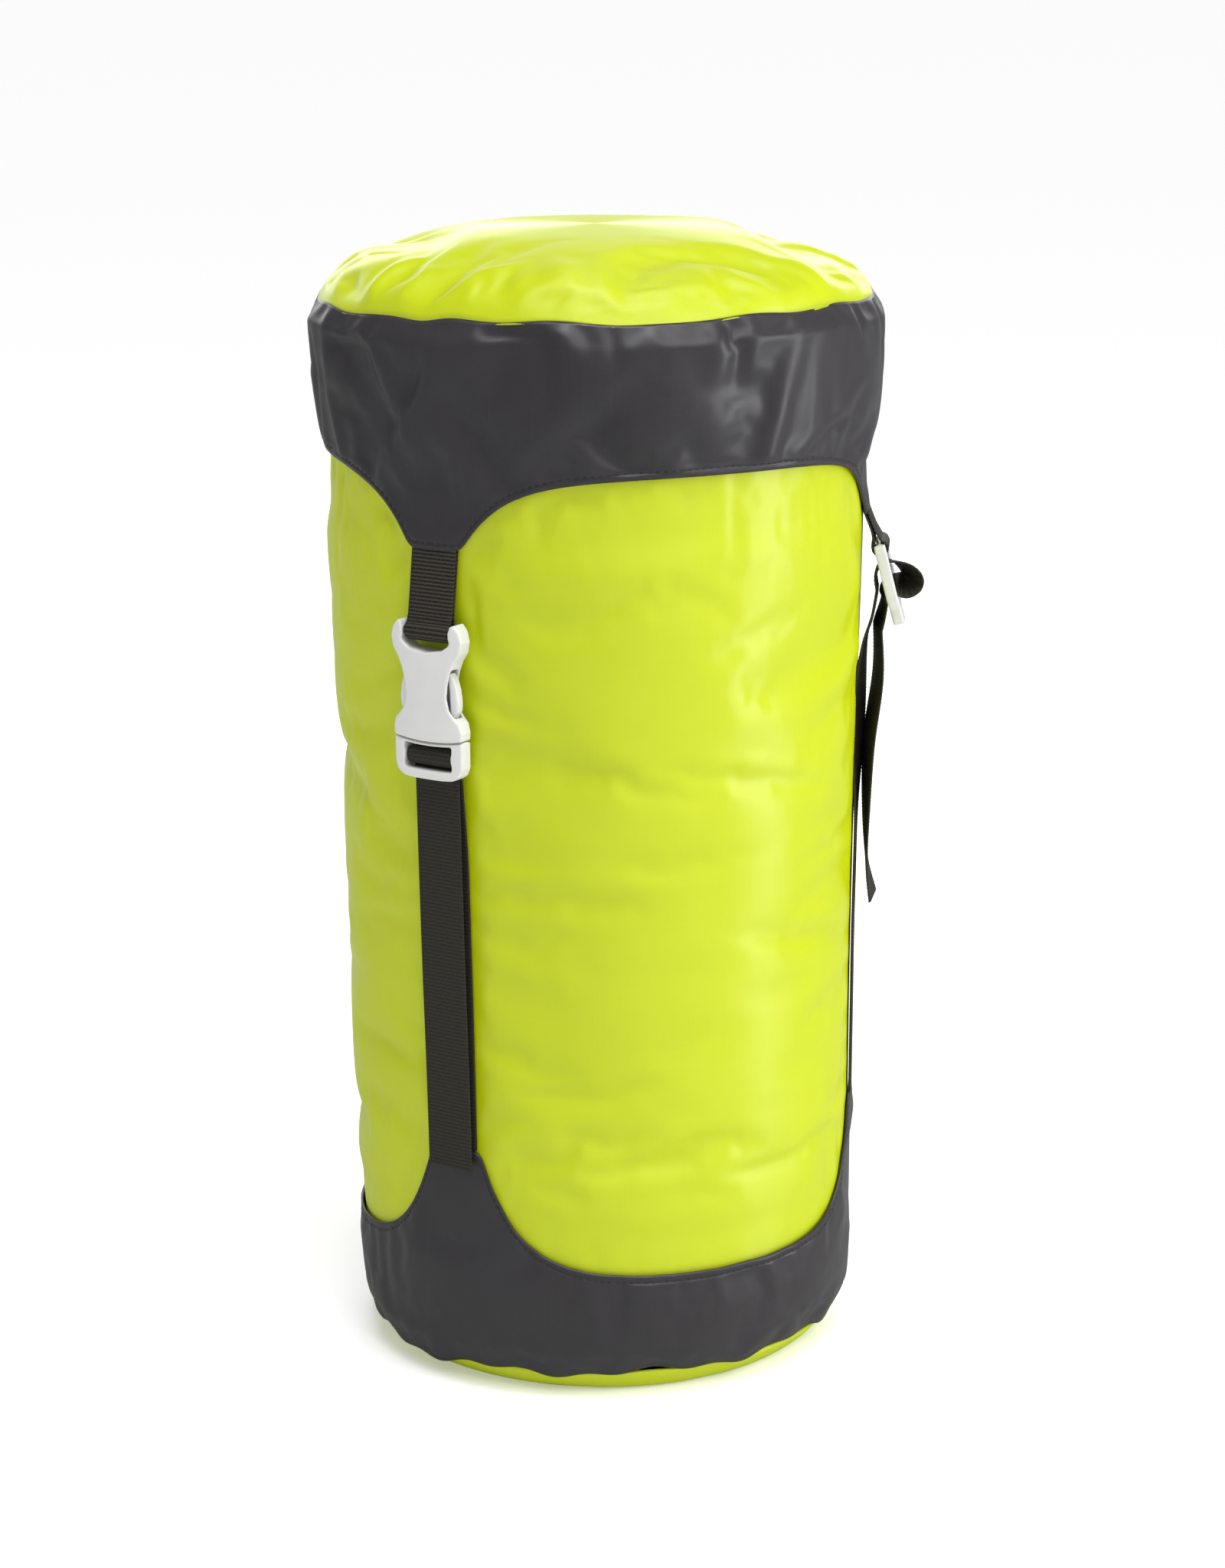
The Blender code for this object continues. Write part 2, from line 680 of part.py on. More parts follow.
def make_cord_lock():
    """A barrel with a sprung plunger, both with a cross hole that the two cord ends pass through."""
    origin = (0.0, -LOCK_CENTRE, CORD_HEIGHT)
    near, far = LOCK_CENTRE - 9 * MM, LOCK_CENTRE + 9 * MM
    half_z = 1.6 * MM
    low, high = BARREL_ENDS
    lock = add_piece("cord_lock", barrel(BARREL_RADIUS, low, high), (CORD_BLACK, 0.5), origin)
    bore = hide_cutter("barrel_bore", barrel(BORE_RADIUS, low + BARREL_WALL, high + 2 * MM))
    hole = add_cutter(
        "barrel_hole", (-4.0 * MM, near, CORD_HEIGHT - half_z), (4.0 * MM, far, CORD_HEIGHT + half_z)
    )
    cut(lock, bore, hole)
    plunger = barrel(BORE_RADIUS - GAP, low + BARREL_WALL + SPRING_LENGTH, high + 3.5 * MM)
    button = add_piece("cord_lock_button", plunger, (CORD_BLACK, 0.5), origin)
    plunger_hole = add_cutter(
        "plunger_hole",
        (-3.8 * MM, near, CORD_HEIGHT - half_z),
        (3.8 * MM + PRESS, far, CORD_HEIGHT + half_z),
    )
    cut(button, plunger_hole)
    make_spring(low + BARREL_WALL + GAP + SPRING_WIRE, origin)


def make_spring(start, origin):
    """The coil between the barrel's closed end and the plunger."""
    length = SPRING_LENGTH - 2 * GAP - 2 * SPRING_WIRE
    coil = []
    for i in range(SPRING_TURNS * SPRING_STEPS + 1):
        turn = 2 * math.pi * i / SPRING_STEPS
        coil.append(
            (
                start + length * i / (SPRING_TURNS * SPRING_STEPS),
                -LOCK_CENTRE + SPRING_RADIUS * math.cos(turn),
                CORD_HEIGHT + SPRING_RADIUS * math.sin(turn),
            )
        )
    tube("cord_lock_spring", coil, SPRING_WIRE, (STEEL, 0.3, 1.0), resolution=1, origin=origin)


clear_scene()
PARTS = new_collection("stuff_sack")
CUTTERS = new_collection("cutters")
make_sack()
make_lid()
add_piece("tab_a", make_front_tab(), (WEBBING, 0.7))
make_female()
make_male()
make_latches()
make_front_webbing()
make_rear_straps()
make_hem()
make_drawcord()
make_cord_lock()
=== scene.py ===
# %% [markdown]
# # A compression stuff sack
# The real object is a tall nylon bag that stands on its base. A separate lid covers its drawn
# mouth, three webbing straps pull the lid down, and the front strap has a side release buckle.
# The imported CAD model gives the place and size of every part. This lesson dresses it: soft
# fabric is simulated or shaped, webbing is woven, and plastic gets its moulded finish.

import math

import bmesh
import bpy
import numpy as np
from mathutils import Matrix, Vector
from mathutils.bvhtree import BVHTree


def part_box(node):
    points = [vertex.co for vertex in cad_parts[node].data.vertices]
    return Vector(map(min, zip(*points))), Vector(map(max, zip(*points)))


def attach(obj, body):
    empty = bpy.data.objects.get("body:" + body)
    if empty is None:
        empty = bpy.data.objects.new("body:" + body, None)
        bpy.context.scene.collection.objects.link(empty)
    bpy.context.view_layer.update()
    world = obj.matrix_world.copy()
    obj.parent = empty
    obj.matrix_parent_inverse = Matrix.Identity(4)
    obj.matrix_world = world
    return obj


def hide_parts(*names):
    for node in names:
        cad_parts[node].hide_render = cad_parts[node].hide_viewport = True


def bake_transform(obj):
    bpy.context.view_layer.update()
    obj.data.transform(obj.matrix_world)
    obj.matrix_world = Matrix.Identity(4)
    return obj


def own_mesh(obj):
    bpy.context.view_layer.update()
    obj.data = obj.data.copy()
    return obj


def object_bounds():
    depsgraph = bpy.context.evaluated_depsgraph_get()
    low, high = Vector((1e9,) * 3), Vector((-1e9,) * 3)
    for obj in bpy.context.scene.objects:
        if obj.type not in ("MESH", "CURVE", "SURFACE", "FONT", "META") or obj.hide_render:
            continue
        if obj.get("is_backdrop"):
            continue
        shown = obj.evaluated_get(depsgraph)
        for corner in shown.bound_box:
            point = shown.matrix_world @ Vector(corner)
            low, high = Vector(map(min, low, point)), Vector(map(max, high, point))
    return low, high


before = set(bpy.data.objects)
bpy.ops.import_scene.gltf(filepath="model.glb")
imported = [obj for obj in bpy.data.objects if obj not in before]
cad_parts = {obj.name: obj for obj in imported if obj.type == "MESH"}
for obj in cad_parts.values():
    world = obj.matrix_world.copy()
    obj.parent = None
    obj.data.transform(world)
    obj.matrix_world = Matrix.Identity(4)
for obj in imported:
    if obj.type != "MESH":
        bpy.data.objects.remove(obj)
CAD_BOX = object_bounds()
MM = 0.001
STRAPS = {"a": 0.0, "b": math.radians(120), "c": math.radians(240)}
print("parts:", len(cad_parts), "height:", round(CAD_BOX[1].z, 4))

# %% [markdown]
# ## Measures
# The sack is round, so a place on it is a distance out from its axis, a direction and a height.
# Directions turn from the front strap towards its right. The outlines below follow the ones that
# the part was drawn with, because the fabric has to lie where the solid parts are. Only the lid's
# top is drawn fuller, by up to five millimetres.

# %% Outlines of the sack
SACK_LINE = [
    (0.0885, 0.0102),
    (0.0925, 0.0200),
    (0.0960, 0.0500),
    (0.0968, 0.1000),
    (0.0975, 0.1600),
    (0.0995, 0.2500),
    (0.1013, 0.3100),
    (0.1016, 0.3400),
    (0.1010, 0.3660),
    (0.0960, 0.3770),
    (0.0850, 0.3825),
    (0.0550, 0.3862),
    (0.0315, 0.3880),
]
BASE_LINE = [(0.0915, 0.0094), (0.0872, 0.0040), (0.0800, 0.0000), (0.0400, 0.0000), (0.0, 0.0)]
LID_LINE = [
    (0.1049, 0.4090),
    (0.1015, 0.4150),
    (0.0930, 0.4220),
    (0.0780, 0.4272),
    (0.0450, 0.4295),
    (0.0, 0.4300),
]
LID_BAND_LINE = [(0.1030, 0.3260), (0.1033, 0.3450), (0.1056, 0.3750), (0.1067, 0.4010), (0.1047, 0.4098)]
BASE_BAND_LINE = [(0.0925, 0.0098), (0.0958, 0.0200), (0.0979, 0.0500), (0.0984, 0.1000)]

# each band's heights at its points, between them and at its seam, and its points' spread in degrees
LID_TIP, LID_EDGE, LID_TOP, LID_SCALLOP = 0.3260, 0.3540, 0.4098, 9.5
BASE_TIP, BASE_EDGE, BASE_FOOT, BASE_SCALLOP = 0.0970, 0.0500, 0.0098, 8.5
POINT_HALF = 6.3  # half of a point's flat end, in degrees
SACK_RADIUS = 0.1
WEB_WIDE, WEB_THICK = 20 * MM, 1.2 * MM


def place(out, angle, height):
    """A point from its distance to the axis, its direction and its height."""
    return Vector((out * math.sin(angle), -out * math.cos(angle), height))


def smooth_line(points, steps=6):
    """A Catmull-Rom curve through the points, as an array."""
    p = np.array([points[0], *points, points[-1]], float)
    t = np.linspace(0, 1, steps, endpoint=False)[:, None]
    spans = [
        0.5
        * (2 * b + (c - a) * t + (2 * a - 5 * b + 4 * c - d) * t**2 + (3 * b - a - 3 * c + d) * t**3)
        for a, b, c, d in zip(p, p[1:], p[2:], p[3:])
    ]
    return np.vstack([*spans, p[-1:]])


class Route:
    """A drawn line that gives the point and direction at any share of its length."""

    def __init__(self, points, steps=6):
        self.points = smooth_line(points, steps)
        legs = np.linalg.norm(np.diff(self.points, axis=0), axis=1)
        self.at = np.concatenate([[0], np.cumsum(legs)])
        self.length = float(self.at[-1])

    def point(self, share):
        s = share * self.length
        return np.array([np.interp(s, self.at, column) for column in self.points.T])

    def along(self, share):
        reach = 0.0006
        step = reach / self.length
        line = self.point(min(share + step, 1)) - self.point(max(share - step, 0))
        return line / np.linalg.norm(line)


def radius_at(line, height):
    """The radius of an outline at a height."""
    r, z = np.array(line).T
    return np.interp(height, z, r)


def strap_distance(angle):
    """Degrees from a direction to the nearest strap."""
    return abs((np.degrees(angle) + 60) % 120 - 60)


def scallop(angle, edge, tip, width):
    """The height of a band's free edge, which runs out to a point at every strap."""
    away = np.maximum(strap_distance(angle) - POINT_HALF, 0)
    return edge + (tip - edge) * np.exp(-away / width)


def lid_edge_at(angle):
    return scallop(angle, LID_EDGE, LID_TIP, LID_SCALLOP)


def base_edge_at(angle):
    return scallop(angle, BASE_EDGE, BASE_TIP, BASE_SCALLOP)


print("sack wall from hem to base:", round(Route(SACK_LINE).length * 1000), "mm")

# %% [markdown]
# ## A placed grid
# Almost everything soft here is a sheet: a wall, a band, a lid or a strip of webbing. Each can
# start as one flat grid from bmesh, whose vertices are carried to their places. The grid keeps
# two numbers on each vertex, its share across and along, and a UV map in metres, so that a weave
# follows the cloth however it bends.


# %% Make a sheet from a grid
def grid_mesh(columns, rows, at, flat, closed=False):
    """A bmesh grid, its vertices carried to at(s, t) with s and t from 0 to 1."""
    bm = bmesh.new()
    bmesh.ops.create_grid(bm, x_segments=columns, y_segments=rows, size=0.5)
    uv = bm.loops.layers.uv.new("cloth")
    across = bm.verts.layers.float.new("across")
    along = bm.verts.layers.float.new("along")
    for vert in bm.verts:
        vert[across], vert[along] = vert.co.x + 0.5, vert.co.y + 0.5
    for face in bm.faces:
        for corner in face.loops:
            corner[uv].uv = flat(corner.vert[across], corner.vert[along])
    for vert in bm.verts:
        vert.co = at(vert[across], vert[along])
    if closed:
        bmesh.ops.remove_doubles(bm, verts=bm.verts, dist=1e-6)
    bmesh.ops.dissolve_degenerate(bm, dist=1e-7, edges=bm.edges)
    bmesh.ops.recalc_face_normals(bm, faces=bm.faces)
    return bm


def finish_mesh(name, bm, outward=None):
    """The bmesh as an object at the origin, shaded smooth; outward(point) says which way is out."""
    if outward is not None:
        vote = sum(face.normal.dot(outward(face.calc_center_median())) for face in bm.faces)
        if vote < 0:
            bmesh.ops.reverse_faces(bm, faces=bm.faces)
    for face in bm.faces:
        face.smooth = True
    mesh = bpy.data.meshes.new(name)
    bm.to_mesh(mesh)
    bm.free()
    piece = bpy.data.objects.new(name, mesh)
    bpy.context.scene.collection.objects.link(piece)
    return piece


def from_axis(point):
    """Outwards from the sack's axis."""
    return Vector((point.x, point.y, 0)).normalized()


def get_points(piece):
    points = np.empty(len(piece.data.vertices) * 3)
    piece.data.vertices.foreach_get("co", points)
    return points.reshape(-1, 3)


def set_points(piece, points):
    piece.data.vertices.foreach_set("co", points.astype(np.float32).ravel())
    piece.data.update()


def get_number(piece, name):
    values = np.empty(len(piece.data.vertices))
    piece.data.attributes[name].data.foreach_get("value", values)
    return values


def add_finish(piece, wall, levels=1):
    """One round of subdivision, then a wall laid inwards from the surface."""
    if levels:
        rounder = piece.modifiers.new("round", "SUBSURF")
        rounder.levels = rounder.render_levels = levels
    thick = piece.modifiers.new("wall", "SOLIDIFY")
    thick.thickness = wall
    thick.offset = -1.0
    thick.use_even_offset = False


def dress(piece, body, slot, material, *nodes):
    """Wear a finish, stand for CAD nodes and ride on a body; a piece may have no body."""
    piece.data.materials.clear()
    piece.data.materials.append(material)
    if body:
        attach(piece, body)
    if nodes:
        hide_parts(*nodes)
    print(piece.name, "faces:", len(piece.data.polygons))
    return piece


print("grid tools ready")

# %% [markdown]
# ## Finishes
# A finish is a node graph on one Principled shader. Effects that several finishes share are
# node groups, made once: a plain weave with slubs for the nylon, ribs for the webbing, and a
# fine moulded grain for plastic. Constant numbers stay on the shader itself.


# %% Helpers for node graphs
def add_node(tree, kind, values=(), **settings):
    """A node with its settings, and its input values or links by socket name or number."""
    node = tree.nodes.new(kind)
    for key, value in settings.items():
        setattr(node, key, value)
    for key, value in dict(values).items():
        if isinstance(value, bpy.types.NodeSocket):
            tree.links.new(value, node.inputs[key])
        else:
            node.inputs[key].default_value = value
    return node


def calculate(tree, operation, *values):
    """A Math node."""
    return add_node(tree, "ShaderNodeMath", enumerate(values), operation=operation).outputs[0]


def noise(tree, vector, scale, detail=2.0, roughness=0.5):
    values = {"Vector": vector, "Scale": scale, "Detail": detail, "Roughness": roughness}
    return add_node(tree, "ShaderNodeTexNoise", values).outputs[0]


def stretch(tree, vector, scale):
    """The pattern's coordinates, stretched."""
    return add_node(tree, "ShaderNodeMapping", {"Vector": vector, "Scale": scale}).outputs[0]


def new_group(name, inputs, outputs):
    group = bpy.data.node_groups.new(name, "ShaderNodeTree")
    for title, kind, value in inputs:
        socket = group.interface.new_socket(title, in_out="INPUT", socket_type=f"NodeSocket{kind}")
        if value is not None:
            socket.default_value = value
    for title, kind in outputs:
        group.interface.new_socket(title, in_out="OUTPUT", socket_type=f"NodeSocket{kind}")
    return group, group.nodes.new("NodeGroupInput"), group.nodes.new("NodeGroupOutput")


def new_finish(name, roughness, **constants):
    """A material with one Principled shader, and its tree and shader."""
    material = bpy.data.materials.new(name)
    material.use_nodes = True
    tree = material.node_tree
    shader = tree.nodes["Principled BSDF"]
    shader.inputs["Roughness"].default_value = roughness
    for key, value in constants.items():
        shader.inputs[key.replace("_", " ")].default_value = value
    return material, tree, shader


def group_node(tree, group, **values):
    return add_node(tree, "ShaderNodeGroup", values, node_tree=group)


def tint(tree, factor, dark, light):
    """A colour between two, by a factor."""
    values = {0: factor, 6: (*dark, 1), 7: (*light, 1)}
    return add_node(tree, "ShaderNodeMix", values, data_type="RGBA").outputs[2]


def cloth_map(tree):
    """The cloth's own map, in metres across and along."""
    return add_node(tree, "ShaderNodeUVMap", uv_map="cloth").outputs[0]


def object_spots(tree):
    return add_node(tree, "ShaderNodeTexCoord").outputs["Object"]


def bump(tree, height, strength, distance, normal=None):
    values = {"Height": height, "Strength": strength, "Distance": distance}
    if normal is not None:
        values["Normal"] = normal
    return add_node(tree, "ShaderNodeBump", values).outputs[0]


print("node helpers ready")


# %% Weave, ribs and moulded grain
def make_weave():
    """Plain weave: warp over weft, and slubs where a thread runs thick."""
    group, given, made = new_group(
        "weave",
        [("Vector", "Vector", None), ("Thread", "Float", 0.0005), ("Slubs", "Float", 0.5)],
        [("Height", "Float"), ("Shade", "Float")],
    )
    parts = add_node(group, "ShaderNodeSeparateXYZ", {0: given.outputs["Vector"]})
    pace = calculate(group, "DIVIDE", 2 * math.pi, given.outputs["Thread"])
    u = calculate(group, "SINE", calculate(group, "MULTIPLY", parts.outputs[0], pace))
    v = calculate(group, "SINE", calculate(group, "MULTIPLY", parts.outputs[1], pace))
    over = calculate(group, "MULTIPLY_ADD", calculate(group, "MULTIPLY", u, v), 0.5, 0.5)
    weft = noise(group, stretch(group, given.outputs["Vector"], (18, 1400, 1)), 1.0, 3.0)
    warp = noise(group, stretch(group, given.outputs["Vector"], (1400, 18, 1)), 1.0, 3.0)
    slubs = calculate(group, "MULTIPLY_ADD", calculate(group, "ADD", weft, warp), 0.5, -0.5)
    slubs = calculate(group, "MULTIPLY", slubs, given.outputs["Slubs"])
    group.links.new(calculate(group, "MULTIPLY_ADD", slubs, 2.0, over), made.inputs["Height"])
    group.links.new(calculate(group, "ADD", slubs, 0.5), made.inputs["Shade"])
    return group


def make_ribs():
    """Webbing: crosswise ribs, each a row of small raised floats, with a painted highlight on each rib's
    top.
    """
    group, given, made = new_group(
        "webbing ribs",
        [
            ("Vector", "Vector", None),
            ("Rib", "Float", 0.0014),
            ("Float", "Float", 0.0009),
            ("Crest", "Float", 0.34),
        ],
        [("Height", "Float"), ("Shade", "Float")],
    )
    parts = add_node(group, "ShaderNodeSeparateXYZ", {0: given.outputs["Vector"]})
    row = calculate(group, "DIVIDE", parts.outputs[1], given.outputs["Rib"])
    shift = calculate(group, "MULTIPLY", calculate(group, "FLOOR", row), 0.5)
    column = calculate(group, "DIVIDE", parts.outputs[0], given.outputs["Float"])
    column = calculate(group, "ADD", column, shift)
    wave = calculate(group, "SINE", calculate(group, "MULTIPLY", column, 2 * math.pi))
    fuzz = noise(group, stretch(group, given.outputs["Vector"], (2600, 900, 1)), 1.0, 2.0)
    height = calculate(group, "MULTIPLY_ADD", wave, 0.35, fuzz)
    # a painted highlight: each rib's top is painted paler, where light would catch it
    rib_highlight = calculate(group, "COSINE", calculate(group, "MULTIPLY", row, 2 * math.pi))
    shade = calculate(group, "MULTIPLY_ADD", fuzz, 0.9, calculate(group, "MULTIPLY", wave, 0.1))
    shade = calculate(group, "MULTIPLY_ADD", rib_highlight, given.outputs["Crest"], shade)
    group.links.new(height, made.inputs["Height"])
    group.links.new(add_node(group, "ShaderNodeClamp", {0: shade}).outputs[0], made.inputs["Shade"])
    return group


def make_grain():
    """Moulded plastic: a fine grain, faint flow and small scratches."""
    group, given, made = new_group(
        "moulded grain",
        [("Vector", "Vector", None), ("Grain", "Float", 2500.0)],
        [("Height", "Float"), ("Shade", "Float"), ("Wear", "Float")],
    )
    grain = noise(group, given.outputs["Vector"], given.outputs["Grain"], 2.0)
    flow = noise(group, given.outputs["Vector"], 90.0, 3.0)
    lines = noise(group, stretch(group, given.outputs["Vector"], (3000, 3000, 140)), 1.0, 2.0)
    wear = calculate(group, "SMOOTH_MIN", calculate(group, "MULTIPLY", lines, flow), 0.4, 0.1)
    group.links.new(grain, made.inputs["Height"])
    group.links.new(flow, made.inputs["Shade"])
    group.links.new(wear, made.inputs["Wear"])
    return group


WEAVE, RIBS, GRAIN = make_weave(), make_ribs(), make_grain()
print("node groups:", WEAVE.name, RIBS.name, GRAIN.name)

# %% [markdown]
# ## The nylon
# Thin nylon is silky: its threads spread a highlight to one side, so that a pale band runs down
# a round bag. An anisotropic gloss of medium roughness gives that band. The weave is only a slight
# bump, with slubs that shade it, and a slow noise for uneven dye. The dark nylon also takes a
# shallow groove beside its hem, where the sewing pulls it in. Webbing is ribbed and dull, with a
# painted highlight on its rib tops, fainter on the sliding straps than on the tabs. Plastic and
# thread share one moulded grain.


# %% Nylon, webbing, plastic and cord
def make_nylon(name, dark, light, roughness, sheen, hem=None, **more):
    """A plain weave; hem is how far the groove beside the hem lies from the free edge."""
    more |= {"Sheen_Weight": sheen, "Sheen_Roughness": 0.45}
    material, tree, shader = new_finish(name, roughness, **more)
    flat = cloth_map(tree)
    weave = group_node(tree, WEAVE, Vector=flat, Thread=0.6 * MM, Slubs=0.8)
    dye = noise(tree, object_spots(tree), 26.0, 3.0)
    mixed = calculate(tree, "MULTIPLY", dye, 0.4)
    mixed = calculate(tree, "MULTIPLY_ADD", weave.outputs["Shade"], 0.6, mixed)
    factor = add_node(tree, "ShaderNodeClamp", {0: mixed}).outputs[0]
    tree.links.new(tint(tree, factor, dark, light), shader.inputs["Base Color"])
    rough = calculate(tree, "MULTIPLY_ADD", dye, 0.12, roughness - 0.06)
    tree.links.new(rough, shader.inputs["Roughness"])
    normal = bump(tree, weave.outputs["Height"], 0.22, 0.05 * MM)
    if hem:
        parts = add_node(tree, "ShaderNodeSeparateXYZ", {0: flat})
        away = calculate(tree, "SUBTRACT", parts.outputs[1], hem)
        away = calculate(tree, "DIVIDE", away, 0.7 * MM)
        square = calculate(tree, "MULTIPLY", away, away)
        dip = calculate(tree, "EXPONENT", calculate(tree, "MULTIPLY", square, -1.0))
        normal = bump(tree, calculate(tree, "SUBTRACT", 1.0, dip), 0.7, 0.5 * MM, normal)
    tree.links.new(normal, shader.inputs["Normal"])
    return material


def make_webbing(name, dark, light, rib_highlight):
    """Ribbed webbing, with a painted highlight that makes each rib's top paler than its foot by the given
    amount.
    """
    material, tree, shader = new_finish(name, 0.62, Specular_IOR_Level=0.16)
    ribs = group_node(tree, RIBS, Vector=cloth_map(tree), Crest=rib_highlight)
    tree.links.new(tint(tree, ribs.outputs["Shade"], dark, light), shader.inputs["Base Color"])
    rough = calculate(tree, "MULTIPLY_ADD", ribs.outputs["Shade"], 0.2, 0.5)
    tree.links.new(rough, shader.inputs["Roughness"])
    tree.links.new(bump(tree, ribs.outputs["Height"], 0.6, 0.12 * MM), shader.inputs["Normal"])
    return material


def make_plastic(name, dark, light, roughness, **more):
    material, tree, shader = new_finish(name, roughness, **more)
    made = group_node(tree, GRAIN, Vector=object_spots(tree), Grain=2500.0)
    tree.links.new(tint(tree, made.outputs["Shade"], dark, light), shader.inputs["Base Color"])
    rough = calculate(tree, "MULTIPLY_ADD", made.outputs["Wear"], 0.25, roughness - 0.05)
    tree.links.new(rough, shader.inputs["Roughness"])
    tree.links.new(bump(tree, made.outputs["Height"], 0.25, 0.02 * MM), shader.inputs["Normal"])
    return material


SILKY = {"Specular_IOR_Level": 0.5, "Anisotropic": 0.8, "Anisotropic_Rotation": 0.25}
LIME = make_nylon("lime nylon", (0.43, 0.515, 0.002), (0.52, 0.60, 0.004), 0.42, 0.0, **SILKY)
HEM_GROOVE = 2.6 * MM
DULLER = {"hem": HEM_GROOVE, "Specular_IOR_Level": 0.42}
CHARCOAL = make_nylon(
    "charcoal nylon", (0.021, 0.019, 0.021), (0.041, 0.038, 0.043), 0.38, 0.03, **DULLER
)
# the tabs' rib tops get a stronger painted highlight than the straps'
BLACK_WEB = make_webbing("black webbing", (0.006, 0.0055, 0.004), (0.066, 0.060, 0.048), 0.34)
STRAP_WEB = make_webbing("strap webbing", (0.012, 0.011, 0.008), (0.050, 0.046, 0.036), 0.18)
SILVER = make_plastic(
    "light grey plastic", (0.60, 0.60, 0.59), (0.68, 0.68, 0.67), 0.34, Coat_Weight=0.15
)
BLACK = make_plastic("black plastic", (0.014, 0.014, 0.015), (0.028, 0.028, 0.029), 0.42)
THREAD = make_plastic("sewing thread", (0.012, 0.012, 0.012), (0.03, 0.03, 0.03), 0.6)
STEEL = make_plastic("spring steel", (0.45, 0.45, 0.46), (0.56, 0.56, 0.57), 0.28, Metallic=1.0)
finishes = (LIME, CHARCOAL, BLACK_WEB, STRAP_WEB, SILVER, BLACK, THREAD, STEEL)
print("finishes:", [material.name for material in finishes])

# %% [markdown]
# ## Camera, light and floor
# The sack stands on a plain white floor under soft studio light. A tall soft light from the right
# gives the silky band down the green wall, one overhead brightens the lid, one from the front
# right fills the wall, and one behind lights the rims. A very soft sun from above gives the floor
# its shadow. The camera stands far away with a long lens, so the sack keeps its parallel sides.
# A white room would lie on the nylon as a grey haze, so glossy rays see a darker world and floor.

# %% Camera
CAMERA_TURN, CAMERA_RISE = math.radians(35.0), math.radians(13.704)
CAMERA_ROLL = math.radians(-0.589)
CAMERA_AWAY, TARGET_HEIGHT, TARGET_RIGHT = 1.45217, 0.21765, 0.00448
LENS, SENSOR = 85.36, 36.0

back = Vector(
    (
        math.sin(CAMERA_TURN) * math.cos(CAMERA_RISE),
        -math.cos(CAMERA_TURN) * math.cos(CAMERA_RISE),
        math.sin(CAMERA_RISE),
    )
)
right = Vector((math.cos(CAMERA_TURN), math.sin(CAMERA_TURN), 0))
up = back.cross(right)
rolled_right = right * math.cos(CAMERA_ROLL) + up * math.sin(CAMERA_ROLL)
rolled_up = -right * math.sin(CAMERA_ROLL) + up * math.cos(CAMERA_ROLL)
lens = bpy.data.cameras.new("camera")
lens.lens, lens.sensor_width, lens.clip_end = LENS, SENSOR, 100.0
camera = bpy.data.objects.new("camera", lens)
bpy.context.scene.collection.objects.link(camera)
turned = Matrix((rolled_right, rolled_up, back)).transposed().to_4x4()
eye = Vector((0, 0, TARGET_HEIGHT)) + right * TARGET_RIGHT + back * CAMERA_AWAY
camera.matrix_world = Matrix.Translation(eye) @ turned
bpy.context.scene.camera = camera
print("camera at", [round(x, 3) for x in camera.location])


# %% Lights
def facing(direction):
    """The turn that points a light back along a direction."""
    return direction.to_track_quat("Z", "Y").to_matrix().to_4x4()


def soft_light(name, spot, target, wide, tall, watts):
    """A rectangle of soft light that faces a point, unseen by the camera."""
    data = bpy.data.lights.new(name, "AREA")
    data.shape, data.size, data.size_y, data.energy = "RECTANGLE", wide, tall, watts
    light = bpy.data.objects.new(name, data)
    light.matrix_world = Matrix.Translation(spot) @ facing(spot - target)
    light.visible_camera = False
    bpy.context.scene.collection.objects.link(light)


def around(turn, away, height):
    """A place round the sack, its turn measured from the camera towards the right."""
    return place(away, CAMERA_TURN + math.radians(turn), height)


for name, spot, aim, wide, tall, watts in (
    ("right band", around(74, 1.1, 0.36), 0.21, 0.3, 0.7, 4.6),
    ("top", around(-5, 0.35, 1.5), 0.43, 0.7, 0.5, 6.5),
    ("front right", around(42, 1.4, 1.15), 0.35, 0.5, 0.7, 2.5),
    ("behind", around(182, 1.9, 0.95), 0.42, 2.4, 0.9, 18),
):
    soft_light(name, spot, Vector((0, 0, aim)), wide, tall, watts)
sky = bpy.data.lights.new("ceiling", "SUN")
sky.energy, sky.angle = 1.66, math.radians(50)
ceiling = bpy.data.objects.new("ceiling", sky)
ceiling.matrix_world = facing(around(35, 0.6, 1.1))
bpy.context.scene.collection.objects.link(ceiling)
print("lights:", [thing.name for thing in bpy.data.lights])

# %% White surround and floor
world = bpy.data.worlds.new("studio")
world.use_nodes = True
tree = world.node_tree
air, out_node = tree.nodes["Background"], tree.nodes["World Output"]
air.inputs["Color"].default_value = (1, 1, 1, 1)
rays = add_node(tree, "ShaderNodeLightPath").outputs
strength = calculate(tree, "MULTIPLY_ADD", rays["Is Glossy Ray"], -0.27, 0.42)
tree.links.new(strength, air.inputs["Strength"])
backdrop = add_node(tree, "ShaderNodeBackground", {"Color": (1, 1, 1, 1), "Strength": 1.0})
seen = rays["Is Camera Ray"]
mixed = add_node(tree, "ShaderNodeMixShader", {0: seen, 1: air.outputs[0], 2: backdrop.outputs[0]})
tree.links.new(mixed.outputs[0], out_node.inputs["Surface"])
bpy.context.scene.world = world
bpy.context.scene.view_settings.view_transform = "Standard"

bm = bmesh.new()
bmesh.ops.create_grid(bm, x_segments=1, y_segments=1, size=60.0)
floor = finish_mesh("floor", bm)
floor_paint, tree, shader = new_finish("white floor", 0.6)
glossy = add_node(tree, "ShaderNodeLightPath").outputs["Is Glossy Ray"]
tree.links.new(tint(tree, glossy, (0.93, 0.93, 0.93), (0.30, 0.30, 0.30)), shader.inputs["Base Color"])
shader.inputs["Emission Color"].default_value = (1, 1, 1, 1)
tree.links.new(calculate(tree, "MULTIPLY_ADD", glossy, -0.25, 0.25), shader.inputs["Emission Strength"])
floor.data.materials.append(floor_paint)
floor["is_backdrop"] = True
print("floor:", floor.name, "world:", world.name)

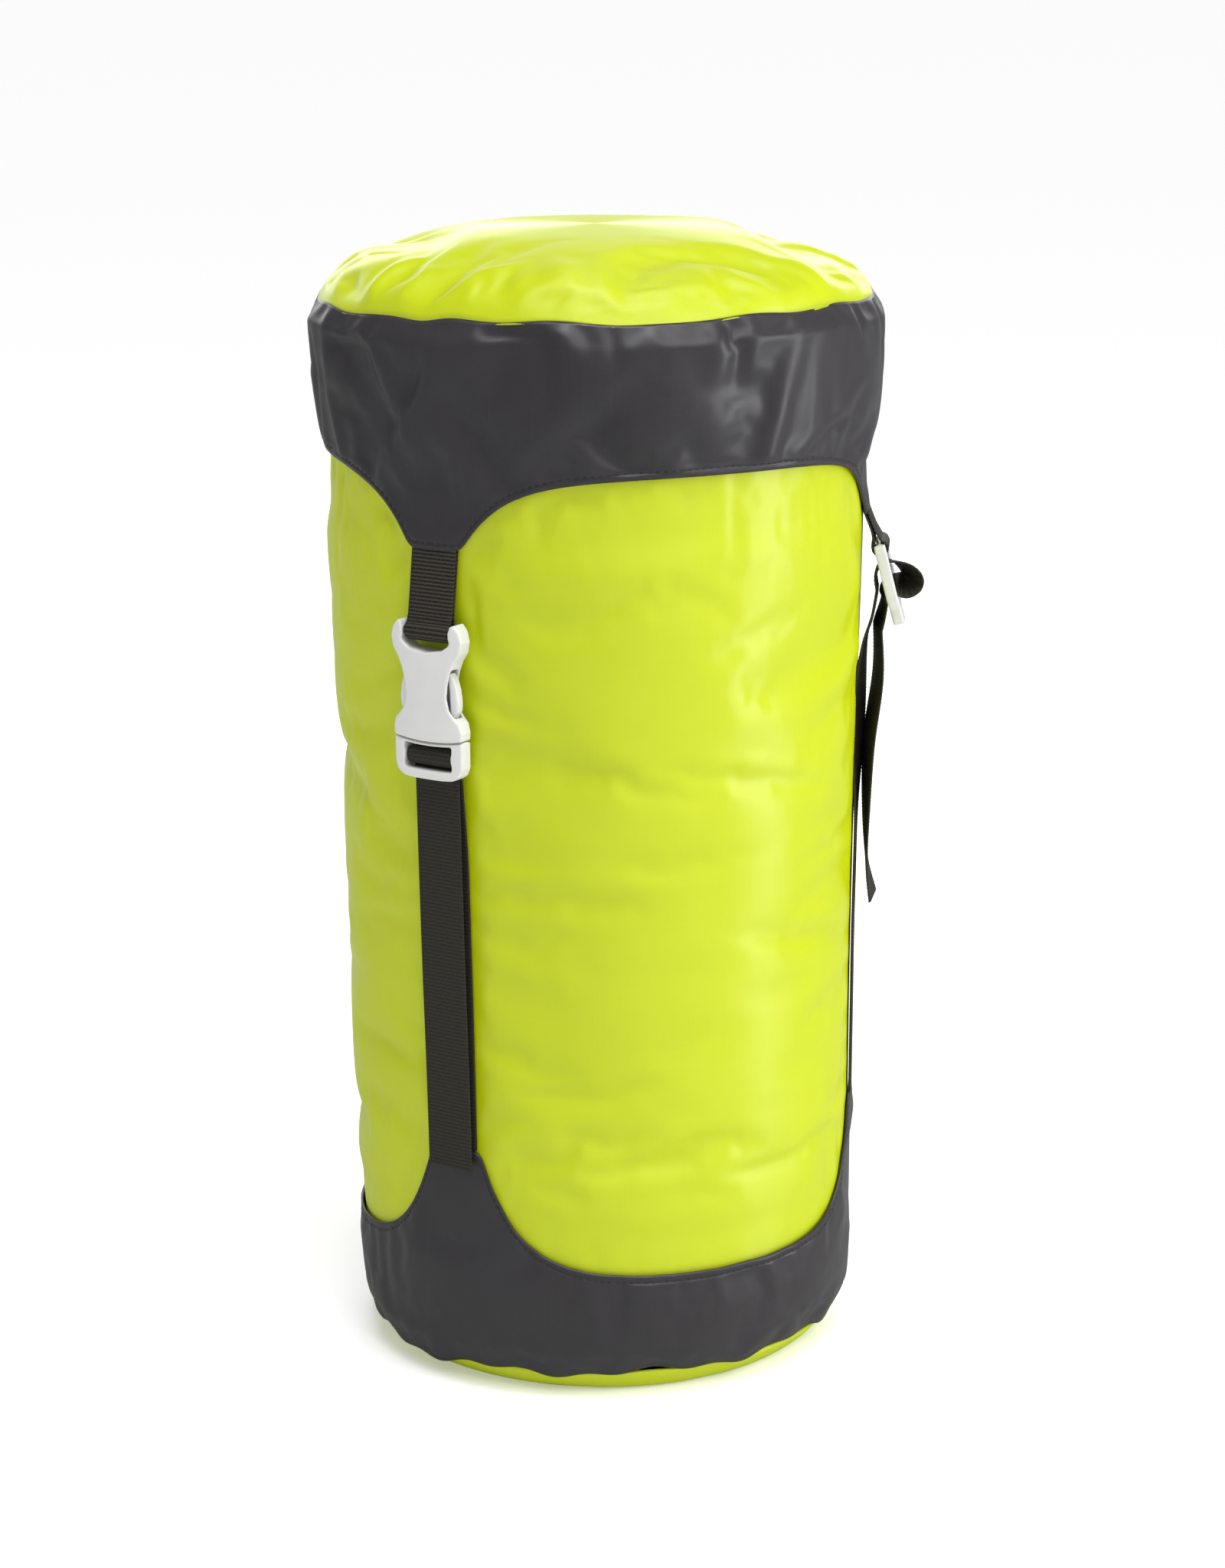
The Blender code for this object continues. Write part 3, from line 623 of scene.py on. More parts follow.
# %% [markdown]
# ## Folds and creases
# Filled nylon never lies flat. Wide puffs come from the stuffing, short creases gather at seams,
# and long folds run to the points where the straps pull. Each fold is a small formula: a soft
# ridge or valley with a place, a direction, a length and a width. Adding many of them to the
# surface is like pinching it by hand, and a fixed seed keeps the result the same every time.


# %% Fold formulas
def folds_on(angle, height, radius, folds):
    """How far the surface moves out, in metres, for a list of folds."""
    moved = np.zeros_like(angle)
    for turn, level, lean, length, width, depth in folds:
        du = ((angle - turn + math.pi) % (2 * math.pi) - math.pi) * radius
        dv = height - level
        a = du * math.cos(lean) + dv * math.sin(lean)
        b = dv * math.cos(lean) - du * math.sin(lean)
        across = np.exp(-((b / width) ** 2)) - 0.45 * np.exp(-((b / (2.2 * width)) ** 2))
        moved += depth * np.exp(-((a / length) ** 2)) * across
    return moved


def random_folds(rng, count, levels, lean, length, width, depth):
    """Folds drawn at random between limits: heights, leans, lengths, widths and depths."""
    return [
        (
            rng.uniform(0, 2 * math.pi),
            rng.uniform(*levels),
            rng.uniform(*lean),
            rng.uniform(*length),
            rng.uniform(*width),
            rng.uniform(*depth) * rng.choice((-1, 1)),
        )
        for _ in range(count)
    ]


def outwards(points):
    """Each point's direction away from the sack's axis."""
    away = points * np.array([1, 1, 0])
    return away / np.maximum(np.linalg.norm(away, axis=1), 1e-6)[:, None]


def keep_off(start, move, room):
    """The moves, with their inward part held to the room there is."""
    away = outwards(start)
    inward = np.minimum((move * away).sum(1) + room, 0)
    return move - away * inward[:, None]


def keep_in(start, move, room):
    """Moves that go no further out from the axis than the room given."""
    away = outwards(start)
    outward = np.maximum((move * away).sum(1) - room, 0)
    return move - away * outward[:, None]


def angles_of(points):
    """Each point's direction, from 0 at the front strap up to a full turn."""
    return np.arctan2(points[:, 0], -points[:, 1]) % (2 * math.pi)


def moved_out(points, far):
    """The points, each carried that far away from the sack's axis."""
    return points + outwards(points) * far[:, None]


def smooth_step(low, high, x):
    t = np.clip((x - low) / (high - low), 0, 1)
    return t * t * (3 - 2 * t)


print("fold tools ready")

# %% [markdown]
# ## Cloth simulation
# Blender's cloth gives the puckers that no formula has. The sheet is held at its seams, blown up
# a little by what is inside, and its threads are a few per cent longer than the shape they cover,
# so that it has to crumple. A negative shrink gives that slack. Gravity is off, twenty frames are
# enough, and no point may move further than a cap.


# %% Simulate a held sheet
POINT_MASS, STIFFNESS, FRAMES = 0.002, 40.0, 20


def crumple(piece, free, shaken, cap, slack, pressure, bending):
    """Runs the cloth from a roughly folded start and gives how far each point moved, capped."""
    start = get_points(piece)
    set_points(piece, shaken)
    group = piece.vertex_groups.new(name="held")
    for i in np.nonzero(free < 0.99)[0]:
        group.add([int(i)], float(1 - free[i]) ** 2, "REPLACE")
    cloth = piece.modifiers.new("cloth", "CLOTH")
    settings = cloth.settings
    settings.quality = 8
    settings.mass = POINT_MASS
    settings.tension_stiffness = settings.compression_stiffness = STIFFNESS
    settings.shear_stiffness = STIFFNESS / 3
    settings.bending_stiffness = bending
    settings.air_damping = 1.0
    settings.use_pressure = pressure > 0
    settings.uniform_pressure_force = pressure
    settings.effector_weights.gravity = 0
    settings.vertex_group_mass = "held"
    settings.shrink_min = -slack
    cloth.collision_settings.use_collision = False
    cloth.point_cache.frame_start, cloth.point_cache.frame_end = 1, FRAMES
    scene = bpy.context.scene
    for frame_number in range(1, FRAMES + 1):
        scene.frame_set(frame_number)
    evaluated = piece.evaluated_get(bpy.context.evaluated_depsgraph_get())
    points = np.empty(len(evaluated.data.vertices) * 3)
    evaluated.data.vertices.foreach_get("co", points)
    moved = points.reshape(-1, 3) - start
    piece.modifiers.remove(cloth)
    piece.vertex_groups.clear()
    scene.frame_set(1)
    set_points(piece, start)
    far = np.linalg.norm(moved, axis=1)
    print(piece.name, "moved by up to", round(far.max() * 1000, 2), "mm")
    return moved * (cap * np.tanh(far / cap) / np.maximum(far, 1e-9))[:, None]


print("simulation is", "on")

# %% [markdown]
# ## The green wall
# The sack's wall is one tube of lime nylon from the base to the drawn mouth. It hangs a little
# slack between the two dark bands, so wide puckers run across its middle and short ones hang
# from the lid's edge. Under the bands it stays smooth, because nothing there shows and the bands
# need their room. Near them it may only bulge a little, so that the lid's band clears it when the
# straps pull it down, and its creases there are pressed inwards. The drawn mouth is pleated.

# %% Make the wall
SACK_ROUTE = Route(SACK_LINE)
SACK_COLUMNS, SACK_ROWS = 204, 112


def wall_at(s, t):
    out, height = SACK_ROUTE.point(t)
    return place(out, 2 * math.pi * s, height)


bm = grid_mesh(
    SACK_COLUMNS,
    SACK_ROWS,
    wall_at,
    lambda s, t: (2 * math.pi * SACK_RADIUS * s, SACK_ROUTE.length * t),
    closed=True,
)
sack_fabric = finish_mesh("sack_fabric", bm, from_axis)
start = get_points(sack_fabric)
turn, level = angles_of(start), start[:, 2]
out = np.hypot(start[:, 0], start[:, 1])
below, above = lid_edge_at(turn) - level, level - base_edge_at(turn)
shows = smooth_step(-0.003, 0.006, below) * smooth_step(-0.002, 0.008, above)
strap_room = smooth_step(5.0, 9.0, strap_distance(turn))
rng = np.random.default_rng(7)
wall_folds = []
for heights, lean, length, width, depth in (
    ((0.08, 0.31), 0.3, (0.014, 0.05), (0.004, 0.009), (0.0006, 0.0016)),
    ((0.05, 0.17), 0.12, (0.012, 0.035), (0.003, 0.005), (0.0003, 0.0008)),
):
    wall_folds += random_folds(rng, 60, heights, (-lean, lean), length, width, depth)
print("wall folds:", len(wall_folds))


# %% Hang short puckers from the lid's edge
def edge_puckers(rng, count, edge, reach, width, depth, down=1):
    """Short upright creases under or over a band's edge."""
    folds = []
    for _ in range(count):
        angle = rng.uniform(0, 2 * math.pi)
        long = rng.uniform(*reach)
        level = float(edge(angle)) - down * long * rng.uniform(0.2, 0.9)
        lean = math.pi / 2 + rng.uniform(-0.35, 0.35)
        wide, deep = rng.uniform(*width), rng.uniform(*depth) * rng.choice((-1, -1, 1))
        folds.append((angle, level, lean, long, wide, deep))
    return folds


long_ones = (0.010, 0.030)
wall_folds += edge_puckers(rng, 84, lid_edge_at, long_ones, (0.0024, 0.0052), (0.0012, 0.0027))
wall_folds += edge_puckers(
    rng, 60, base_edge_at, (0.005, 0.014), (0.002, 0.004), (0.0003, 0.0008), down=-1
)
free = shows * strap_room
shaken = moved_out(start, folds_on(turn, level, SACK_RADIUS, wall_folds) * free)
wall_move = crumple(sack_fabric, free, shaken, cap=3.0 * MM, slack=0.02, pressure=8.0, bending=0.3)
under_lid = 0.5 + 2.5 * smooth_step(0.020, 0.036, below)
over_base = 0.2 + 2.8 * smooth_step(0.013, 0.028, above)
wall_move = keep_in(start, wall_move * free[:, None], np.minimum(under_lid, over_base) * MM)
hem_folds = edge_puckers(rng, 66, lid_edge_at, long_ones, (0.0028, 0.0050), (0.0007, 0.0016))
creases = -np.abs(folds_on(turn, level, SACK_RADIUS, hem_folds)) * free
points = moved_out(start + wall_move, creases)
drawn = smooth_step(0.092, 0.060, out) * smooth_step(0.0325, 0.040, out) * (level > 0.3)
pleats = np.sin(21 * turn + 1.5 * np.sin(3 * turn)) + 0.5 * np.sin(34 * turn + 2.0 * np.sin(2 * turn + 1))
points[:, 2] += drawn * pleats * 1.5 * MM
set_points(sack_fabric, points)
add_finish(sack_fabric, wall=1.0 * MM)
dress(sack_fabric, "sack", "lime_nylon", LIME, "sack_body")
foot, tall = 0.0102, 0.3778
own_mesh(sack_fabric)

# %% [markdown]
# ## Bands
# A dark band is sewn round each end. The lid's band hangs over the top of the wall and its free
# edge dips to a point at each strap. The band round the base runs up to a point under each strap.
# Both are slack, with broad dents, and the pull of the straps draws long folds to each point.


# %% Make a band
def make_band(name, line, low, high, columns, rows, upside_down=False):
    """A band between two edges, its UV heights measured from its free edge."""

    def at(s, t):
        angle = 2 * math.pi * s
        bottom, top = low(angle), high(angle)
        height = bottom + (top - bottom) * t
        return place(float(radius_at(line, height)), angle, height)

    def flat(s, t):
        tall = high(2 * math.pi * s) - low(2 * math.pi * s)
        return (2 * math.pi * SACK_RADIUS * s, tall * ((1 - t) if upside_down else t))

    return finish_mesh(name, grid_mesh(columns, rows, at, flat, closed=True), from_axis)


def seam_wave(angle):
    """The lid's top seam runs in small waves, with a tuck over the front strap."""
    wave = 0.7 * np.sin(5 * angle + 0.8) + 0.5 * np.sin(11 * angle + 2.1) + 0.35 * np.sin(17 * angle)
    tuck = ((np.degrees(angle) + 180) % 360 - 180 + 1.0) / 5.0
    return (wave - 1.8 * np.exp(-(tuck**2))) * MM


def pull_folds(rng, tip, up_sign, reach):
    """Long folds that fan out from each strap's point."""
    folds = []
    for angle in STRAPS.values():
        for side in (-1, 1):
            for lean in (0.30, 0.62, 0.95):
                lean += rng.uniform(-0.08, 0.08)
                long = reach * rng.uniform(0.7, 1.2)
                du, dv = side * math.sin(lean) * long, up_sign * math.cos(lean) * long
                deep = rng.uniform(0.0006, 0.0012) * rng.choice((-1, 1))
                wide = rng.uniform(0.003, 0.0055)
                spot = (angle + du / SACK_RADIUS, tip + dv)
                folds.append((*spot, math.atan2(dv, du), long, wide, deep))
    return folds


def settle_band(piece, radius, folds, free, cap, slack, bending, room):
    """Folds a band, simulates it and keeps it off what lies under it."""
    start = get_points(piece)
    turn, level = angles_of(start), start[:, 2]
    shaken = moved_out(start, folds_on(turn, level, radius, folds) * free)
    move = crumple(piece, free, shaken, cap, slack, pressure=2.0, bending=bending)
    return start + keep_off(start, move * free[:, None], room)


lid_band = make_band("lid_band_fabric", LID_BAND_LINE, lid_edge_at, lambda a: LID_TOP, 216, 26)
start = get_points(lid_band)
turn, level, share = angles_of(start), start[:, 2], get_number(lid_band, "along")
sewn = np.maximum(1 - smooth_step(0.0, 0.06, 1 - share), 1 - smooth_step(0.0, 0.10, share))
free = 1 - sewn
rng = np.random.default_rng(21)
band_folds = pull_folds(rng, LID_TIP, 1, 0.030)
for turned_by, height, lean, long, wide, deep in (
    (29, 0.381, 39, 0.026, 0.0075, 2.6),
    (36, 0.366, -32, 0.018, 0.0055, -2.4),
    (-4, 0.386, 62, 0.018, 0.0050, -2.6),
    (-9, 0.380, 118, 0.016, 0.0050, 2.0),
    (4, 0.372, 100, 0.020, 0.0060, 1.8),
    (29, 0.402, 88, 0.009, 0.0050, 2.2),
    (17, 0.396, 60, 0.014, 0.0060, -1.8),
    (46, 0.386, 20, 0.022, 0.0085, -2.2),
    (52, 0.372, 8, 0.024, 0.0070, 2.0),
    (63, 0.398, 95, 0.012, 0.0045, -2.2),
    (74, 0.380, 75, 0.020, 0.0070, 2.0),
    (-32, 0.388, 96, 0.018, 0.0050, 2.4),
    (-44, 0.376, 80, 0.020, 0.0060, -2.0),
):
    place_of = (math.radians(turned_by), height, math.radians(lean))
    band_folds.append((*place_of, long, wide, deep * MM))
for limits in (
    (36, (0.360, 0.402), (-1.0, 1.0), (0.012, 0.034), (0.005, 0.011), (0.0012, 0.0032)),
    (44, (0.398, 0.412), (1.2, 1.9), (0.006, 0.014), (0.0025, 0.005), (0.0005, 0.0012)),
):
    band_folds += random_folds(rng, *limits)
room = radius_at(LID_BAND_LINE, level) - radius_at(SACK_LINE, level) - 1.1 * MM
room = np.clip(room, 0, 4 * MM)
points = settle_band(lid_band, 0.105, band_folds, free, 4.0 * MM, slack=0.045, bending=0.5, room=room)
over_tab = np.exp(-((strap_distance(turn) / 11) ** 2 + ((level - LID_TIP) / (9 * MM)) ** 2))
points = moved_out(points, over_tab * 1.1 * MM)
points[:, 2] += seam_wave(turn) * smooth_step(0.55, 1.0, share)
set_points(lid_band, points)
add_finish(lid_band, wall=0.8 * MM)
dress(lid_band, "lid", "dark_nylon", CHARCOAL, "lid_band")

# %% The band round the base
base_band = make_band(
    "base_band_fabric", BASE_BAND_LINE, lambda a: BASE_FOOT, base_edge_at, 216, 18, upside_down=True
)
start = get_points(base_band)
turn, level, share = angles_of(start), start[:, 2], get_number(base_band, "along")
rng = np.random.default_rng(33)
base_folds = pull_folds(rng, BASE_TIP, -1, 0.026)
base_folds += random_folds(
    rng, 30, (0.012, 0.048), (-0.9, 0.9), (0.010, 0.028), (0.004, 0.008), (0.0005, 0.0014)
)
base_folds += edge_puckers(rng, 70, base_edge_at, (0.004, 0.010), (0.0018, 0.004), (0.0002, 0.0006))
base_folds += random_folds(
    rng, 30, (0.008, 0.016), (1.2, 1.9), (0.005, 0.012), (0.003, 0.006), (0.0004, 0.0010)
)
free = smooth_step(0.0, 0.12, 1 - share) * smooth_step(0.0, 0.1, share)
room = np.full(len(start), 0.5 * MM)
points = settle_band(base_band, 0.096, base_folds, free, 2.6 * MM, slack=0.03, bending=0.4, room=room)
foot = 1 - smooth_step(0.0, 0.5, share)
points[:, 2] += foot * (0.0012 * np.sin(turn * 9 + 0.6) + 0.0009 * np.sin(turn * 23 + 2.0))
sag_middle, sag_half = -38, 48  # the foot hangs lower at the front left
from_sag = (np.degrees(turn) + 180) % 360 - 180 - sag_middle
sag = np.exp(-((from_sag / sag_half) ** 4))
points[:, 2] -= foot * sag * 3.4 * MM
set_points(base_band, points)
add_finish(base_band, wall=1.0 * MM)
dress(base_band, "sack", "dark_nylon", CHARCOAL, "base_band")

# %% [markdown]
# ## The base and the lid's top
# Both are discs of lime nylon sewn into their bands. The lid's top is puffed by air and fabric
# under it, and puckers run in from its seam. A polar grid would crowd its points in the middle,
# which upsets the cloth, so a square grid is rounded into the disc instead.


# %% Make a disc
def make_disc(name, line, cells, outward):
    """A square grid rounded into a disc, so that its cells stay even, and laid on an outline."""
    r, z = smooth_line(line, 12)[::-1].T

    def at(s, t):
        x, y = 2 * s - 1, 2 * t - 1
        u, v = x * math.sqrt(1 - y * y / 2), y * math.sqrt(1 - x * x / 2)
        spot = Vector((u, v)) * line[0][0]
        return Vector((spot.x, spot.y, float(np.interp(spot.length, r, z))))

    return finish_mesh(name, grid_mesh(cells, cells, at, lambda s, t: at(s, t)[:2]), outward)


lid_top = make_disc("lid_panel_fabric", LID_LINE, 64, lambda p: Vector((0, 0, 1)))
start = get_points(lid_top)
turn, level = angles_of(start), start[:, 2]
out = np.hypot(start[:, 0], start[:, 1])
sewn = smooth_step(0.1000, 0.1042, out)
rng = np.random.default_rng(5)
rim = random_folds(
    rng, 40, (0.085, 0.100), (1.2, 1.95), (0.006, 0.018), (0.003, 0.007), (0.0010, 0.0026)
)
tucks = {-19: 3.0, 1: -3.4, 7: 2.4, 33: -3.2, 38: 1.8, 64: -3.0, -55: -2.6, 95: -2.8}
for turned_by, deep in tucks.items():
    rim.append((math.radians(turned_by), 0.094, math.pi / 2, 0.013, 0.0045, deep * MM))
free = 1 - sewn
shaken = start.copy()
shaken[:, 2] += folds_on(turn, out, SACK_RADIUS, rim) * free * smooth_step(0.05, 0.08, out)
top_move = crumple(lid_top, free, shaken, cap=6.0 * MM, slack=0.03, pressure=2.0, bending=0.5)
points = start + top_move * free[:, None]
points[:, 2] += seam_wave(turn) * smooth_step(0.07, 0.1045, out)
set_points(lid_top, points)
add_finish(lid_top, wall=1.0 * MM)
dress(lid_top, "lid", "lime_nylon", LIME, "lid_panel")

base_panel = make_disc("base_panel_fabric", BASE_LINE, 48, lambda p: Vector((0, 0, -1)))
add_finish(base_panel, wall=1.0 * MM)
dress(base_panel, "sack", "lime_nylon", LIME, "base_panel")

# %% [markdown]
# ## Webbing
# Woven webbing is a flat strip with crosswise ribs. A bump alone would leave its edges smooth,
# so the ribs are real: the strip's section, a flattened loop, is carried along the strap's path
# in small steps, and its faces swell and sink once in each rib. A twist may turn the section on
# its way, as loose webbing turns. The weave's finer floats are left to the material.


# %% Sweep webbing along a path
RIB = 1.4 * MM
STEPS_PER_RIB = 4
ACROSS = 24


def section(s):
    """A flattened loop: its place across the strap and its side, from 0 to 1 round it."""
    turn = 2 * math.pi * s
    x = math.copysign(abs(math.cos(turn)) ** 0.35, math.cos(turn))
    n = math.copysign(abs(math.sin(turn)) ** 0.45, math.sin(turn))
    return x, n


def make_strip(name, points, angle, twist=None):
    """Webbing along a path of (out, height) points, turned to its strap's direction."""
    route = Route(points)
    rows = max(8, round(route.length / RIB * STEPS_PER_RIB))
    spots = [(route.point(i / rows), route.along(i / rows)) for i in range(rows + 1)]

    def at(s, t):
        (out, height), (ahead_out, ahead_up) = spots[round(t * rows)]
        x, n = section(s)
        swell = 0.88 + 0.12 * math.cos(2 * math.pi * t * route.length / RIB)
        flat = Vector((x * WEB_WIDE / 2, n * WEB_THICK / 2 * swell))
        if twist:
            flat.rotate(Matrix.Rotation(twist(t), 2))
        spot = Vector((flat.x, -(out + flat.y * ahead_up), height - flat.y * ahead_out))
        return Matrix.Rotation(angle, 3, "Z") @ spot

    def flat_at(s, t):
        return (section(s)[0] * WEB_WIDE / 2, t * route.length)

    bm = grid_mesh(ACROSS, rows, at, flat_at, closed=True)
    close_ends(bm)
    return finish_mesh(name, bm)


def close_ends(bm):
    """Caps over a strip's or a tube's open ends."""
    ends = [edge for edge in bm.edges if edge.is_boundary]
    bmesh.ops.holes_fill(bm, edges=ends, sides=0)
    bmesh.ops.recalc_face_normals(bm, faces=bm.faces)


def sack_path(low, high, steps):
    """Heights on the sack's wall, with the strap's middle lying just off it."""
    heights = np.linspace(low, high, steps + 1)
    return [(float(radius_at(SACK_LINE, z)) + 0.3 * MM + WEB_THICK / 2, z) for z in heights]


def off(origin, points, lean=0.0):
    """Points in millimetres (out, up) from an origin, leaned outwards at their lower end."""
    c, s = math.cos(lean), math.sin(lean)
    return [(origin[0] + (v * c - w * s) * MM, origin[1] + (v * s + w * c) * MM) for v, w in points]


print("webbing has", round(1 / RIB / 1000, 2), "ribs per millimetre")

# %% [markdown]
# ## The front strap
# The load strap comes up from the base, turns round the two bars of the buckle's lower half and
# hangs down again as a loose tail. The tab above is one strip folded round the upper half's bar.

# %% Front webbing
STRAP_FOOT = 0.0973
BUCKLE_OUT, SPLIT = 0.1065, 0.2560
SPLIT_POINT = (BUCKLE_OUT, SPLIT)

load_a = sack_path(STRAP_FOOT, 0.2100, 4) + off(SPLIT_POINT, [(-4.8, -18.0), (-4.2, -10.0), (-4.2, -6.6)])
strap = make_strip("load_webbing_a", load_a, STRAPS["a"])
dress(strap, "sack", "webbing", STRAP_WEB, "load_strap_a")
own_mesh(strap)
wrap_a = off(
    SPLIT_POINT,
    [(-4.2, -6.3), (-3.4, -4.2), (-1.4, -3.2), (0.9, -3.2), (2.3, -4.5), (2.3, -7.2)]
    + [(1.0, -8.6), (-1.1, -9.0), (-2.5, -10.3), (-2.6, -14.9)],
)
wrap = make_strip("wrap_webbing_a", wrap_a, STRAPS["a"])
dress(wrap, "buckle_male", "webbing", STRAP_WEB, "webbing_wrap_a")
tail_a = [(0.1039, 0.2413), (0.1036, 0.2150), (0.1028, 0.1700), (0.1016, 0.1250), (0.1010, 0.0900)]
dress(make_strip("tail_webbing_a", tail_a, STRAPS["a"]), "tail_a", "webbing", STRAP_WEB, "tail_a")


# %% A folded tab
TAB_TOP = (0.1021, LID_TIP + 3 * MM)


def tab_path(bar, top):
    """From the band down to a bar, round it and up again: two layers that meet above the bar."""
    bar, top = Vector(bar), Vector(top)
    upward = (top - bar).normalized()
    outward = Vector((upward.y, -upward.x))
    ring = [math.radians(d) for d in (62, 25, -20, -65, -90, -115, -160, -205, -242)]
    loop, layer, parting = 2.95, 0.62, 1.0
    loop_points = [bar + (outward * math.cos(a) + upward * math.sin(a)) * loop * MM for a in ring]

    def beside(side):
        aside = outward * side
        return [
            top + aside * layer * MM,
            bar + upward * 8 * MM + aside * layer * MM,
            bar + upward * 5.0 * MM + aside * parting * MM,
        ]

    return [tuple(p) for p in beside(1) + loop_points + beside(-1)[::-1]]


tab = make_strip("tab_webbing_a", tab_path((BUCKLE_OUT, SPLIT + 40.5 * MM), TAB_TOP), STRAPS["a"])
dress(tab, "lid", "webbing", BLACK_WEB, "tab_a")

# %% [markdown]
# ## The rear straps
# Each rear strap runs through a ladder lock instead: up behind it, over its middle bar and back
# down through its lower slot. A fold of slack webbing stands out in front of the bar, and the
# tail hangs free with its end curling outwards. The rear tabs ride on no body.

# %% Rear webbing
LOCK_TOP, LOCK_LEAN = (0.1078, 0.3150), math.radians(14)
TAIL_B_OUT = 0.1074
bar = off(LOCK_TOP, [(0.0, -1.8)], LOCK_LEAN)[0]
load_b = sack_path(STRAP_FOOT, 0.2500, 5) + [(0.1022, 0.2740), (0.1052, 0.2850)]
load_b += off(LOCK_TOP, [(-5.2, -18.3)], LOCK_LEAN)
wrap_b = off(
    LOCK_TOP,
    [(-5.2, -18.0), (-4.6, -13.0), (-2.6, -9.8), (0.0, -8.8), (3.8, -9.8), (7.6, -13.5)]
    + [(9.0, -17.5), (6.0, -19.4), (2.0, -18.2), (-1.8, -18.4), (-3.8, -20.8), (-3.9, -24.0)],
    LOCK_LEAN,
) + [(TAIL_B_OUT, 0.2811)]
tail_b = [(TAIL_B_OUT, 0.2814), (0.1076, 0.2620), (0.1042, 0.2350)]
tail_b += [(0.1032, 0.2050), (0.1038, 0.1870), (0.1060, 0.1740)]


def fold_twist(t):
    """The slack fold turns a little out of line, as loose webbing does."""
    fold = math.radians(24) * math.exp(-(((t - 0.47) / 0.2) ** 2))
    return fold + math.radians(10) * float(smooth_step(0.6, 1.0, t))


def tail_twist(t):
    """The tail carries on where the fold ends, and turns back at its free end."""
    return math.radians(10 + 4 * math.sin(math.pi * t) - 16 * t**3)


def load_twist(t):
    """The load strap stands off the wall near its lock and turns there."""
    return math.radians(13) * math.sin(math.pi * float(smooth_step(0.5, 1.0, t)))


for key in ("b", "c"):
    angle = STRAPS[key]
    strap = make_strip(f"load_webbing_{key}", load_b, angle, twist=load_twist)
    dress(strap, "sack", "webbing", STRAP_WEB, f"load_strap_{key}")
    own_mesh(strap)
    wrap = make_strip(f"wrap_webbing_{key}", wrap_b, angle, twist=fold_twist)
    dress(wrap, f"rear_lock_{key}", "webbing", STRAP_WEB, f"webbing_wrap_{key}")
    tail = make_strip(f"tail_webbing_{key}", tail_b, angle, twist=tail_twist)
    dress(tail, f"tail_{key}", "webbing", STRAP_WEB, f"tail_{key}")
    tab = make_strip(f"tab_webbing_{key}", tab_path(bar, TAB_TOP), angle)
    dress(tab, None, "webbing", BLACK_WEB, f"tab_{key}")
    low_end = place(bar[0], angle, bar[1] + 2 * MM)
    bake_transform(tab)

# %% [markdown]
# ## Hardware
# Moulded plastic has no sharp edge: corners are rounded and the faces are a little crowned, so
# that light runs over them. A copy of each CAD part is welded, remeshed into small even cells and
# smoothed, and then the buckle's thickness is drawn in towards its sides.


# %% Soften a moulded part
def moulded(name, node, body, material, slot, cell=0.36 * MM, rounds=8, shape=None):
    """A softened copy of a hard CAD part, which rides and stands in its place."""
    bm = bmesh.new()
    bm.from_mesh(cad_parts[node].data)
    bmesh.ops.remove_doubles(bm, verts=bm.verts, dist=1e-6)
    rough = finish_mesh("rough", bm)
    cells = rough.modifiers.new("cells", "REMESH")
    cells.mode, cells.voxel_size = "VOXEL", cell
    graph = bpy.context.evaluated_depsgraph_get()
    mesh = bpy.data.meshes.new_from_object(rough.evaluated_get(graph))
    bpy.data.objects.remove(rough, do_unlink=True)
    bm = bmesh.new()
    bm.from_mesh(mesh)
    for _ in range(rounds):
        bmesh.ops.smooth_vert(
            bm, verts=bm.verts, factor=0.5, use_axis_x=True, use_axis_y=True, use_axis_z=True
        )
    piece = finish_mesh(name, bm)
    if shape:
        set_points(piece, shape(get_points(piece)))
    return dress(piece, body, slot, material, node)


def crowned(points):
    """The buckle thins towards its sides, its split bows, and its lower corners are round."""
    side = np.abs(points[:, 0]) / 0.0165
    middle_line = -BUCKLE_OUT
    points[:, 1] = middle_line + (points[:, 1] - middle_line) * (1 - 0.34 * side**2.2)
    near_split = np.exp(-(((points[:, 2] - SPLIT) / (7 * MM)) ** 2))
    foot = 1 - smooth_step(0.0, 9 * MM, points[:, 2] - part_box("buckle_male")[0].z)
    points[:, 2] += (1.4 * side**2 * near_split + 2.2 * side**4 * foot) * MM
    return points


for node, body in (
    ("buckle_female", "lid"),
    ("buckle_male", "buckle_male"),
    ("latch_left", "latch_left"),
    ("latch_right", "latch_right"),
):
    moulded(f"{node}_moulded", node, body, SILVER, "grey_plastic", shape=crowned)
for key in ("b", "c"):
    node, body = f"ladder_lock_{key}", f"rear_lock_{key}"
    moulded(f"{node}_moulded", node, body, SILVER, "grey_plastic", cell=0.4 * MM, rounds=4)
for node in ("cord_lock", "cord_lock_button"):
    moulded(f"{node}_moulded", node, node, BLACK, "black_plastic", rounds=3)

# %% The cord lock's spring, copied from its CAD part
bm = bmesh.new()
bm.from_mesh(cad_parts["cord_lock_spring"].data)
bmesh.ops.remove_doubles(bm, verts=bm.verts, dist=1e-6)
spring = finish_mesh("cord_lock_spring_coil", bm)
dress(spring, "cord_lock", "steel", STEEL, "cord_lock_spring")
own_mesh(spring)

# %% [markdown]
# ## Stitching
# Small stitches hold the hems. Each is a tiny stretched icosphere of twenty faces, laid on the
# cloth where a ray towards the sack's axis meets it, and turned along the seam.


# %% Stitch a hem
PITCH, STITCH_LONG, STITCH_WIDE = 2.8 * MM, 1.9 * MM, 0.42 * MM


